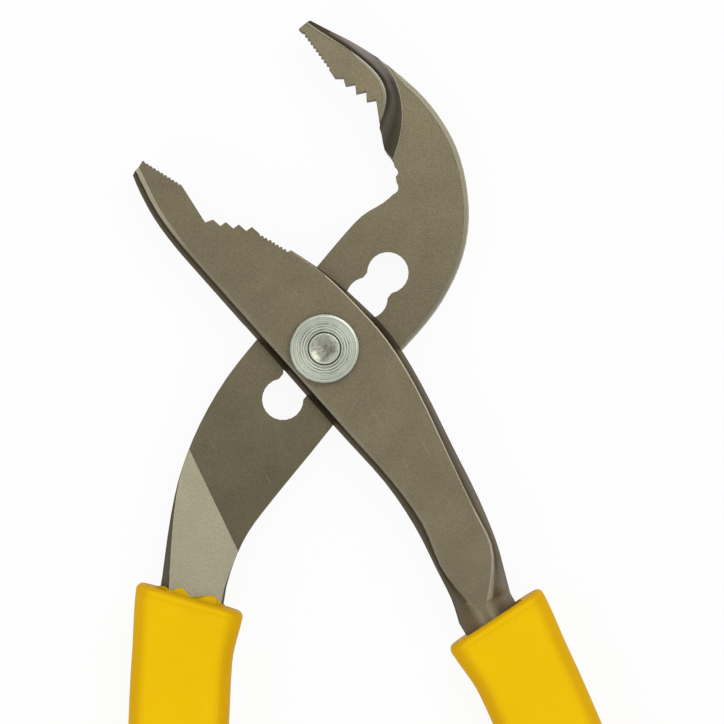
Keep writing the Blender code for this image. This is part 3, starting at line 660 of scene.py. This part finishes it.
def bevel_edges(piece, wanted, width, segments, slot):
    """Bevels the edges that a test of the edge and its two faces picks, in edit mode."""
    bpy.ops.mesh.select_mode(type="EDGE")
    bpy.ops.mesh.select_all(action="DESELECT")
    shape = bmesh.from_edit_mesh(piece.data)
    for edge in shape.edges:
        if len(edge.link_faces) == 2 and wanted(edge, *edge.link_faces):
            edge.select_set(True)
    bmesh.update_edit_mesh(piece.data)
    bpy.ops.mesh.bevel(offset=width, segments=segments, affect="EDGES", material=slot, clamp_overlap=False)


def step_edge_at(height, near):
    """A test for the edges at one height where an arm's flat face meets its cove."""
    def is_wanted(edge, first, second):
        middle = (edge.verts[0].co.z + edge.verts[1].co.z) / 2
        return {first.material_index, second.material_index} == {ARM, COVE} and abs(middle - height) < near
    return is_wanted


def dress_arm(piece, materials, is_rim, is_cove, is_ramp, foot, crest):
    """Gives an arm its slots, a crisp ramp and the bright lines along its step, and stays in edit mode."""
    for material in materials:
        piece.data.materials.append(material)
    activate(piece)
    bpy.ops.object.mode_set(mode="EDIT")
    for slot, wanted in ((LINE, is_rim), (COVE, is_cove), (RAMP, is_ramp)):
        select_faces(piece, wanted)
        piece.active_material_index = slot
        bpy.ops.object.material_slot_assign()
    bpy.ops.mesh.region_to_loop()
    bpy.ops.mesh.mark_sharp()
    bevel_edges(piece, step_edge_at(crest, JAW_EDGE_NEAR), JAW_EDGE_BEVEL, 2, LINE)
    bevel_edges(piece, step_edge_at(foot, FOOT_NEAR), FOOT_LINE, 1, LINE)


def pull_behind_throat(piece):
    """Sets the end of the jaw's bright line, which stands proud of the throat's wall, back onto it."""
    shape = bmesh.from_edit_mesh(piece.data)
    facing = [face for face in shape.faces if face.normal.x < THROAT_FACES]
    walls = [face for face in facing if face.calc_center_median().y > THROAT_FROM]
    wall = max(walls, key=lambda face: face.calc_area())
    upper = [vertex.co for vertex in wall.verts if vertex.co.z > FRONT_FACE - THROAT_TOP]
    end = min(upper, key=lambda place: place.y).copy()
    for vertex in shape.verts:
        proud = (vertex.co - end).dot(wall.normal)
        if proud > HAIR and (vertex.co - end).length < 2 * JAW_EDGE_BEVEL:
            vertex.co -= wall.normal * proud
    bmesh.update_edit_mesh(piece.data)


def clamp(share):
    return min(max(share, 0.0), 1.0)


def squeeze_heel(piece):
    """Flattens the heel's rounding, still selected, to the height of the side, and tapers its upper end."""
    shape = bmesh.from_edit_mesh(piece.data)
    for vertex in shape.verts:
        if vertex.select:
            fall = clamp((REAR_LAP - vertex.co.z) / HEEL_BEVEL)
            inwards = HEEL_BEVEL * (1 - math.sqrt(1 - (1 - fall) ** 2))
            taper = clamp((vertex.co.y - HEEL_TAPER[0]) / (HEEL_TAPER[1] - HEEL_TAPER[0]))
            outwards = min(inwards * HEEL_NARROWS * taper, HEEL_EDGE - vertex.co.dot(HEEL_OUT))
            vertex.co += HEEL_OUT * max(outwards, 0.0)
            vertex.co.z = REAR_LAP - fall * HEEL_DROP
    bmesh.update_edit_mesh(piece.data)


def is_rear_rim(middle, normal):
    """The chamfer along the back of the jaw's tip."""
    leans = REAR_RIM_LEAN[0] < normal.z < REAR_RIM_LEAN[1]
    return middle.z > FRONT_FACE - REAR_RIM_DEPTH and leans and normal.y > 0


def is_rear_cove(middle, normal):
    """The hollow step between the lap and the thicker jaw."""
    along, _ = in_arm(middle, REAR_ANGLE)
    in_step = along > COVE_STARTS and REAR_LAP + HAIR < middle.z < FRONT_FACE - COVE_TOP
    return in_step and COVE_LEAN[0] < normal.z < COVE_LEAN[1]


def is_rear_ramp(middle, normal):
    """The slope that thickens the lap into the tang."""
    along, _ = in_arm(middle, REAR_ANGLE)
    return along < RAMP_STARTS and middle.z > REAR_LAP and RAMP_LEAN[0] < normal.z < RAMP_LEAN[1]


def is_heel_edge(edge, first, second):
    """The lap's outer edge below the jaw, away from the slot, which a hand rubs bright."""
    level = all(abs(vertex.co.z - REAR_LAP) < HAIR for vertex in edge.verts)
    sides = [face for face in (first, second) if abs(face.normal.z) < HEEL_SIDE]
    if not level or len(sides) != 1 or sides[0].material_index != ARM:
        return False
    along, across = in_arm(edge.verts[0].co, REAR_ANGLE)
    out, over = in_arm(sides[0].normal, REAR_ANGLE)
    in_slot = abs(across) < SLOT_HALF and SLOT_ENDS[0] < along < SLOT_ENDS[1]
    return not in_slot and along > 0 and (out > HEEL_FACES[0] or over < HEEL_FACES[1])


rear_arm = merged_copy("rear_arm", "rear_arm_forging")
rear_finishes = (rear_steel, cove_skin_painted_light, rear_line, ramp_steel_painted_light)
dress_arm(rear_arm, rear_finishes, is_rear_rim, is_rear_cove, is_rear_ramp, REAR_LAP, FRONT_FACE)
pull_behind_throat(rear_arm)
bevel_edges(rear_arm, is_heel_edge, HEEL_BEVEL, HEEL_STEPS, LINE)
squeeze_heel(rear_arm)
bpy.ops.object.mode_set(mode="OBJECT")
soften_edges(rear_arm, EDGE_BEVEL)
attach(rear_arm, "rear_half")
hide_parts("rear_arm")


# Front arm: the other forged half, which laps over the rear one. Its straight jaw, keyed hole and tang
# are one piece, and its finish is the rear arm's; its own step lies at the back, out of the front view.
FRONT_ANGLE = math.radians(131.6)
FRONT_LAP = 0.0096
REAR_BACK = 0.0038
RIM_STARTS = -0.031
RIM_GROWS = 0.011
RIM_WIDENS = 0.0004
FRONT_RIM_DEPTH = 0.0006
FRONT_RIM_LEAN = (0.90, 0.98)
LEFT_RIM_ENDS = -0.050
RIGHT_RIM_ENDS = (-0.0555, 0.0165)
FRONT_STEP = (0.006, 0.036)
FRONT_STEP_FACES = -0.35

front_steel = make_arm_steel("front_arm_steel", 1.14, 0.97, 1.14)
front_line = make_rubbed_line("front_rubbed_line", -0.048, -0.036, 0.85, 1.0, 1.0, 1.0)


def is_front_cove(middle, normal):
    """The same step as the rear arm's, at the back."""
    along, _ = in_arm(middle, FRONT_ANGLE)
    out, over = in_arm(normal, FRONT_ANGLE)
    in_step = FRONT_STEP[0] < along < FRONT_STEP[1] and out < FRONT_STEP_FACES * math.hypot(out, over)
    in_depth = REAR_BACK + COVE_TOP < middle.z < FRONT_LAP - HAIR
    return in_step and in_depth and COVE_LEAN[0] < -normal.z < COVE_LEAN[1]


def is_front_ramp(middle, normal):
    """The same slope as the rear arm's, at the back."""
    along, _ = in_arm(middle, FRONT_ANGLE)
    return along < RAMP_STARTS and middle.z < FRONT_LAP and RAMP_LEAN[0] < -normal.z < RAMP_LEAN[1]


def is_front_rim(middle, normal):
    """The chamfers along both edges of the front face, away from the teeth."""
    if normal.x < 0:
        away = middle.y > LEFT_RIM_ENDS
    else:
        away = RIGHT_RIM_ENDS[0] < middle.y < RIGHT_RIM_ENDS[1]
    leans = FRONT_RIM_LEAN[0] < normal.z < FRONT_RIM_LEAN[1]
    return away and leans and middle.z > FRONT_FACE - FRONT_RIM_DEPTH


front_arm = merged_copy("front_arm", "front_arm_forging")
activate(front_arm)
bpy.ops.object.mode_set(mode="EDIT")
select_faces(front_arm, is_front_rim)
shape = bmesh.from_edit_mesh(front_arm.data)
for vertex in shape.verts:
    chamfers = [face for face in vertex.link_faces if face.select]
    if chamfers and vertex.co.z > FRONT_FACE - HAIR:
        outwards = sum((face.normal for face in chamfers), Vector())
        outwards.z = 0
        share = clamp((RIM_STARTS - vertex.co.x) / RIM_GROWS)
        vertex.co -= outwards.normalized() * RIM_WIDENS * share
bmesh.update_edit_mesh(front_arm.data)
bpy.ops.object.mode_set(mode="OBJECT")
front_finishes = (front_steel, cove_skin_painted_light, front_line, front_steel)
dress_arm(front_arm, front_finishes, is_front_rim, is_front_cove, is_front_ramp, FRONT_LAP, REAR_BACK)
bpy.ops.object.mode_set(mode="OBJECT")
soften_edges(front_arm, EDGE_BEVEL)
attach(front_arm, "front_half")
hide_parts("front_arm")


# Collar: a turned, zinc plated steel disc on the stud's thin end. The lathe leaves rings on its face,
# its rim is broken by a small chamfer, and the stud's end is peened into its countersink.
COLLAR_SIDES = 96
COLLAR_RADIUS = 0.00774
COLLAR_BORE = 0.0033
COLLAR_MOUTH = 0.00372
COLLAR_CHAMFER = 0.00050
COLLAR_SMOOTH = 28
# Each step of the chamfer: how far in it ends and how far it rises, as shares of the chamfer
CHAMFER_STEPS = ((0.35, 0.72), (1.00, 0.28))
COUNTERSINK = 0.0010
# Each turned ring: its radius, its width and its depth
GROOVES = (
    (0.00683, 0.00012, 0.00005),
    (0.00645, 0.00016, 0.00006),
    (0.00590, 0.00010, 0.00003),
    (0.00531, 0.00018, 0.00007),
    (0.00502, 0.00010, 0.00004),
    (0.00440, 0.00014, 0.00006),
    (0.00408, 0.00012, 0.00005),
)

collar_low, collar_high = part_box("pivot_collar")
bpy.ops.object.select_all(action="DESELECT")
bpy.ops.mesh.primitive_circle_add(
    vertices=COLLAR_SIDES, radius=COLLAR_RADIUS, fill_type="NGON", location=(0, 0, collar_low.z)
)
collar = bpy.context.object
collar.name = "collar_zinc"
bpy.ops.object.transform_apply(location=True, rotation=True, scale=True)
bpy.ops.object.mode_set(mode="EDIT")
rise = collar_high.z - collar_low.z - COLLAR_CHAMFER
bpy.ops.mesh.select_all(action="SELECT")
bpy.ops.mesh.extrude_region_move(TRANSFORM_OT_translate={"value": (0, 0, rise)})


def inset_face(reached, radius, drop):
    """Insets the round face in hand from one radius to another, and lowers it by a drop."""
    bpy.ops.mesh.inset(thickness=(reached - radius) * math.cos(math.pi / COLLAR_SIDES))
    bpy.ops.transform.translate(value=(0, 0, -drop))


profile = []
for inwards, upwards in CHAMFER_STEPS:
    profile.append((COLLAR_RADIUS - COLLAR_CHAMFER * inwards, -COLLAR_CHAMFER * upwards))
for radius, width, depth in GROOVES:
    profile += [(radius + width / 2, 0), (radius, depth), (radius - width / 2, -depth)]
profile += [(COLLAR_MOUTH, 0), (COLLAR_BORE, COUNTERSINK)]
reached = COLLAR_RADIUS
for radius, drop in profile:
    inset_face(reached, radius, drop)
    reached = radius
bpy.ops.mesh.delete(type="FACE")
select_faces(collar, lambda middle, normal: middle.z < collar_low.z + HAIR)
inset_face(COLLAR_RADIUS, COLLAR_BORE, 0)
bpy.ops.mesh.delete(type="FACE")
bpy.ops.mesh.select_mode(type="EDGE")
bpy.ops.mesh.select_all(action="DESELECT")
bpy.ops.mesh.select_non_manifold()
bpy.ops.mesh.bridge_edge_loops()
bpy.ops.mesh.select_all(action="SELECT")
bpy.ops.mesh.normals_make_consistent(inside=False)
bpy.ops.object.mode_set(mode="OBJECT")
bpy.ops.object.shade_smooth_by_angle(angle=math.radians(COLLAR_SMOOTH))
collar.data.materials.append(turned_zinc)
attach(collar, "front_half")
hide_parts("pivot_collar")


# Grip liners: a first thin coat that each tang is dipped in, which shows just above the sleeve's lip.
# On the rear arm its edge is ragged and clings to the steel in tabs; on the front arm it is trimmed.
LINER_YELLOW = (0.78, 0.49, 0.006)
LINER_SHADE = (0.70, 0.43, 0.006)
VINYL_WORN = (0.95, 0.72, 0.10)
# The skin's fineness is in cells per metre
CLOUD_FINENESS = 55.0
PEEL_FINENESS = 900.0
SCUFF_FINENESS = 1500.0
SCUFF_TURN = 0.35
SCUFF_SQUEEZE = 0.03
SCUFF_STRENGTH = 0.10
LINER_EDGE = 0.00015
# How far above the lip the rim lies, and the shortest of its edges that is divided
RIM_REACH = (0.0008, 0.00165)
RIM_LONG = 0.0008
RIM_CUTS = 40
RIM_SKIN = 0.0004
RIM_THINNING = 0.0008
# Each tab's middle and half width across the handle, and how far it reaches up the steel
FRONT_TABS = ((0.0, 0.060, -0.0017),)
REAR_TABS = (
    (0.0, 0.060, -0.0011),
    (-0.0062, 0.0018, 0.0007),
    (-0.0025, 0.0029, 0.0014),
    (0.0044, 0.0036, 0.0017),
)


def make_vinyl_group():
    """Soft unevenness, fine orange peel and scuffs, for the dipped coat and the moulded sleeve."""
    tree, vector, ends = start_group("vinyl_skin", ("Cloud", "Peel", "Scuff"))
    tree.links.new(add_noise(tree, vector, CLOUD_FINENESS, 3.0), ends["Cloud"])
    tree.links.new(add_noise(tree, vector, PEEL_FINENESS, 3.0), ends["Peel"])
    mapping = tree.nodes.new("ShaderNodeMapping")
    mapping.inputs["Rotation"].default_value = (0.0, 0.0, SCUFF_TURN)
    mapping.inputs["Scale"].default_value = (1.0, SCUFF_SQUEEZE, 1.0)
    tree.links.new(vector, mapping.inputs["Vector"])
    streak = add_noise(tree, mapping.outputs["Vector"], SCUFF_FINENESS, 1.0)
    tree.links.new(add_range(tree, streak, 0.70, 0.80, 0.0, 1.0), ends["Scuff"])
    return tree


vinyl_skin = make_vinyl_group()


def make_vinyl(name, colour, shade, roughness, gloss):
    """Yellow vinyl with painted shade: deeper and more golden where it turns away to the sides."""
    material, tree, shader, where = start_material(name)
    shader.inputs["Specular IOR Level"].default_value = gloss
    skin = add_group(tree, vinyl_skin, where)
    facing = add_math(tree, "ABSOLUTE", add_lean(tree)["Z"], 0.0)
    # Painted shade where the vinyl turns away to the sides
    flat = add_range(tree, facing, 0.78, 0.995, 0.0, 1.0)
    body = add_mix(tree, "MIX", flat, shade, colour)
    cloud = add_range(tree, skin["Cloud"], 0.3, 0.7, 0.965, 1.035)
    toned = add_mix(tree, "MULTIPLY", 1.0, body, cloud)
    worn = add_math(tree, "MULTIPLY", skin["Scuff"], SCUFF_STRENGTH)
    tree.links.new(add_mix(tree, "MIX", worn, toned, VINYL_WORN), shader.inputs["Base Color"])
    rough = add_range(tree, skin["Cloud"], 0.3, 0.7, roughness - 0.05, roughness + 0.05)
    tree.links.new(rough, shader.inputs["Roughness"])
    add_bump(tree, shader, skin["Peel"], 0.00003, 0.25)
    return material


dipped_vinyl = make_vinyl("dipped_vinyl", LINER_YELLOW, LINER_SHADE, 0.50, 0.03)

# Each handle at its lip: where its line crosses it, its heading, which way the other handle lies, the lip's
# slant, how far the sleeve sits off the line, and the width and height of its mouth
FRONT_GRIP = {
    "start": (0.03682, -0.05985),
    "heading": 300.3,
    "inwards": -1,
    "slant": 3.0,
    "offset": 0.0008,
    "mouth": (0.0142, 0.0122),
}
REAR_GRIP = {
    "start": (-0.02941, -0.05500),
    "heading": -99.2,
    "inwards": 1,
    "slant": 7.0,
    "offset": 0.0003,
    "mouth": (0.0154, 0.0128),
}


def grip_axes(grip):
    """The start of a handle, the direction down it, and the direction across it towards the other one."""
    heading = math.radians(grip["heading"])
    side = heading + grip["inwards"] * math.pi / 2
    down = Vector((math.cos(heading), math.sin(heading), 0))
    return Vector((*grip["start"], 0)), down, Vector((math.cos(side), math.sin(side), 0))


def rim_lift(reach, tabs):
    """How far the rim is drawn up at a place across the handle: round tabs, one over the other."""
    lift = 0.0
    for middle, half, height in tabs:
        share = abs(reach - middle) / half
        if share < 1:
            lift += height * (1 + math.cos(math.pi * share)) / 2
    return lift


def add_liner(node, name, grip, tabs):
    """The CAD liner with its rim divided finely, drawn up into tabs and thinned down onto the steel."""
    piece = merged_copy(node, name)
    start, down, across = grip_axes(grip)
    slope = math.tan(math.radians(grip["slant"]))

    def above_lip(point):
        place = point - start
        return place.dot(across) * slope - place.dot(down)

    bpy.ops.object.mode_set(mode="EDIT")
    bpy.ops.mesh.select_mode(type="EDGE")
    bpy.ops.mesh.select_all(action="DESELECT")
    shape = bmesh.from_edit_mesh(piece.data)
    for edge in shape.edges:
        ends = [vertex.co for vertex in edge.verts]
        on_rim = all(above_lip(end) > RIM_REACH[0] for end in ends)
        long = abs((ends[1] - ends[0]).dot(across)) > RIM_LONG
        if on_rim and long and ends[0].z > ARM_MIDDLE:
            edge.select_set(True)
    bmesh.update_edit_mesh(piece.data)
    bpy.ops.mesh.subdivide(number_cuts=RIM_CUTS)
    shape = bmesh.from_edit_mesh(piece.data)
    rim = [vertex for vertex in shape.verts if RIM_REACH[0] < above_lip(vertex.co) < RIM_REACH[1]]
    outside = max(vertex.co.z for vertex in rim) - RIM_SKIN
    for vertex in rim:
        if vertex.co.z > outside:
            vertex.co.z -= RIM_THINNING
        vertex.co -= down * rim_lift((vertex.co - start).dot(across), tabs)
    bmesh.update_edit_mesh(piece.data)
    bpy.ops.object.mode_set(mode="OBJECT")
    piece.data.materials.append(dipped_vinyl)
    soften_edges(piece, LINER_EDGE)
    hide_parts(node)
    return piece


front_liner = add_liner("front_grip_liner", "front_liner_coat", FRONT_GRIP, FRONT_TABS)
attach(front_liner, "front_half")
rear_liner = add_liner("rear_grip_liner", "rear_liner_coat", REAR_GRIP, REAR_TABS)
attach(rear_liner, "rear_half")


# Grip sleeves: thick vinyl sleeves pushed on over the liners and closed at the handle's end. Each has a
# slightly flared, rounded lip, cut on a slant, flat broad faces and full round corners.
SLEEVE_YELLOW = (0.845, 0.520, 0.003)
SLEEVE_SHADE = (0.715, 0.400, 0.004)
SLEEVE_LENGTH = 0.1217
SLEEVE_LIP_WIDTH = 0.0242
SLEEVE_WIDTH = 0.0221
SLEEVE_THICKNESS = 0.0183
SLEEVE_CORNER = 0.0056
CORNER_STEPS = 8
SLEEVE_SMOOTH = 50
SLEEVE_LIP_LENGTH = 0.014
LIP_ROUND = 0.0014
LIP_TURNS = (15, 30, 45, 60, 75, 90)
BEAD_GROOVE = 0.00030
# The groove that sets off the lip's bead: places down the sleeve, and shares of its depth
BEAD_STEPS = ((0.0018, 0.3), (0.0023, 1.0), (0.0029, 1.0), (0.0037, 0.3))
BODY_STEPS_MM = (4.5, 6, 8, 10, 12, 14, 18, *range(24, 109, 6))
END_ROUND = 0.009
END_TURNS = (0, 15, 30, 45, 58, 70, 80)
MOUTH_INSET = 0.0012
HOLE_WIDTH = 0.0182
HOLE_THICKNESS = 0.0136
HOLE_DEPTH = 0.106
HOLE_OPENS = 0.012
HOLE_STEPS = (0.0004, 0.003, HOLE_OPENS, 0.030, 0.055, 0.080, HOLE_DEPTH)
LEAD = 0.012
ENTRY_TURN = 7.0
ENTRY_LENGTH = 0.024
END_TURN = 5.0
LINE_STEPS = 67

yellow_vinyl = make_vinyl("yellow_vinyl", SLEEVE_YELLOW, SLEEVE_SHADE, 0.46, 0.02)


def ease(share):
    share = clamp(share)
    return share * share * (3 - 2 * share)


def add_grip_line(name, grip):
    """The handle's centre line as a curve, which starts a little before the lip."""
    curve = bpy.data.curves.new(name, "CURVE")
    curve.dimensions = "3D"
    curve.twist_mode = "Z_UP"
    spline = curve.splines.new("POLY")
    spline.points.add(LINE_STEPS)
    step = (LEAD + SLEEVE_LENGTH) / LINE_STEPS
    start, down, _ = grip_axes(grip)
    point = start - down * LEAD
    for i, knot in enumerate(spline.points):
        knot.co = (point.x, point.y, ARM_MIDDLE, 1.0)
        along = (i + 0.5) * step - LEAD
        entry = ENTRY_TURN * ease(along / ENTRY_LENGTH)
        ending = END_TURN * ease((along - ENTRY_LENGTH) / (SLEEVE_LENGTH - ENTRY_LENGTH))
        heading = math.radians(grip["heading"] + grip["inwards"] * (entry - ending))
        point += step * Vector((math.cos(heading), math.sin(heading), 0))
    line = bpy.data.objects.new(name, curve)
    bpy.context.scene.collection.objects.link(line)
    return line


def sleeve_rings():
    """Each ring down a sleeve: its place, its inset all round, and its groove on the broad faces."""
    rings = []
    for turn in LIP_TURNS:
        angle = math.radians(turn)
        rings.append((LIP_ROUND * (1 - math.cos(angle)), LIP_ROUND * (1 - math.sin(angle)), 0.0))
    rings += [(along, 0.0, share * BEAD_GROOVE) for along, share in BEAD_STEPS]
    rings += [(0.001 * along, 0.0, 0.0) for along in BODY_STEPS_MM]
    for turn in END_TURNS:
        angle = math.radians(turn)
        along = SLEEVE_LENGTH - END_ROUND * (1 - math.sin(angle))
        rings.append((along, END_ROUND * (1 - math.cos(angle)), 0.0))
    return rings


def sink_hole(piece, mouth_width, mouth_height):
    """Sinks the mouth and the wider hole behind it into the lip's flat face."""
    select_faces(piece, lambda middle, normal: middle.x < LEAD + HAIR)
    bpy.ops.mesh.inset(thickness=MOUTH_INSET)
    lip_width = SLEEVE_LIP_WIDTH - 2 * LIP_ROUND - 2 * MOUTH_INSET
    lip_height = SLEEVE_THICKNESS - 2 * LIP_ROUND - 2 * MOUTH_INSET
    factor = (1, mouth_width / lip_width, mouth_height / lip_height)
    bpy.ops.transform.resize(value=factor, center_override=(LEAD, 0, 0))
    for sink in HOLE_STEPS:
        bpy.ops.mesh.extrude_region_move(TRANSFORM_OT_translate={"value": (0, 0, 0)})
        shape = bmesh.from_edit_mesh(piece.data)
        at = next(face.calc_center_median().x for face in shape.faces if face.select)
        bpy.ops.transform.translate(value=(LEAD + sink - at, 0, 0))
        if sink == HOLE_OPENS:
            factor = (1, HOLE_WIDTH / mouth_width, HOLE_THICKNESS / mouth_height)
            bpy.ops.transform.resize(value=factor, center_override=(LEAD + sink, 0, 0))


def add_sleeve(name, grip):
    """A sleeve drawn out straight along X, cut on a slant at its lip, and laid along the handle's line."""
    bpy.ops.object.select_all(action="DESELECT")
    bpy.ops.mesh.primitive_plane_add(size=1.0, location=(0, 0, 0), rotation=(0, math.pi / 2, 0))
    piece = bpy.context.object
    piece.name = name
    bpy.ops.object.transform_apply(location=True, rotation=True, scale=True)
    bpy.ops.object.mode_set(mode="EDIT")
    bpy.ops.mesh.select_all(action="SELECT")
    width = SLEEVE_LIP_WIDTH - 2 * LIP_ROUND
    height = SLEEVE_THICKNESS - 2 * LIP_ROUND
    bpy.ops.transform.resize(value=(1, width, height), center_override=(0, 0, 0))
    bpy.ops.mesh.bevel(offset=SLEEVE_CORNER - LIP_ROUND, segments=CORNER_STEPS, affect="VERTICES")
    bpy.ops.transform.translate(value=(LEAD, 0, 0))
    at = 0.0
    for along, inset, groove in sleeve_rings():
        bpy.ops.mesh.extrude_region_move(TRANSFORM_OT_translate={"value": (along - at, 0, 0)})
        flare = 1 - ease(along / SLEEVE_LIP_LENGTH)
        new_width = SLEEVE_WIDTH + (SLEEVE_LIP_WIDTH - SLEEVE_WIDTH) * flare - 2 * inset
        new_height = SLEEVE_THICKNESS - 2 * (inset + groove)
        factor = (1, new_width / width, new_height / height)
        bpy.ops.transform.resize(value=factor, center_override=(LEAD + along, 0, 0))
        at, width, height = along, new_width, new_height
    sink_hole(piece, *grip["mouth"])
    bpy.ops.mesh.select_all(action="SELECT")
    bpy.ops.transform.translate(value=(0, -grip["inwards"] * grip["offset"], 0))
    bpy.ops.mesh.normals_make_consistent(inside=False)
    bpy.ops.object.mode_set(mode="OBJECT")
    slope = grip["inwards"] * math.tan(math.radians(grip["slant"]))
    for vertex in piece.data.vertices:
        share = 1 - ease((vertex.co.x - LEAD) / SLEEVE_LIP_LENGTH)
        vertex.co.x += share * slope * vertex.co.y
    line = add_grip_line(f"{name}_line", grip)
    bend = piece.modifiers.new("line", "CURVE")
    bend.object = line
    bend.deform_axis = "POS_X"
    apply_modifiers(piece)
    bpy.data.objects.remove(line)
    bpy.ops.object.shade_smooth_by_angle(angle=math.radians(SLEEVE_SMOOTH))
    piece.data.materials.append(yellow_vinyl)
    return piece


front_sleeve = add_sleeve("front_sleeve_vinyl", FRONT_GRIP)
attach(front_sleeve, "front_half")
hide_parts("front_grip_sleeve")
rear_sleeve = add_sleeve("rear_sleeve_vinyl", REAR_GRIP)
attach(rear_sleeve, "rear_half")
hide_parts("rear_grip_sleeve")
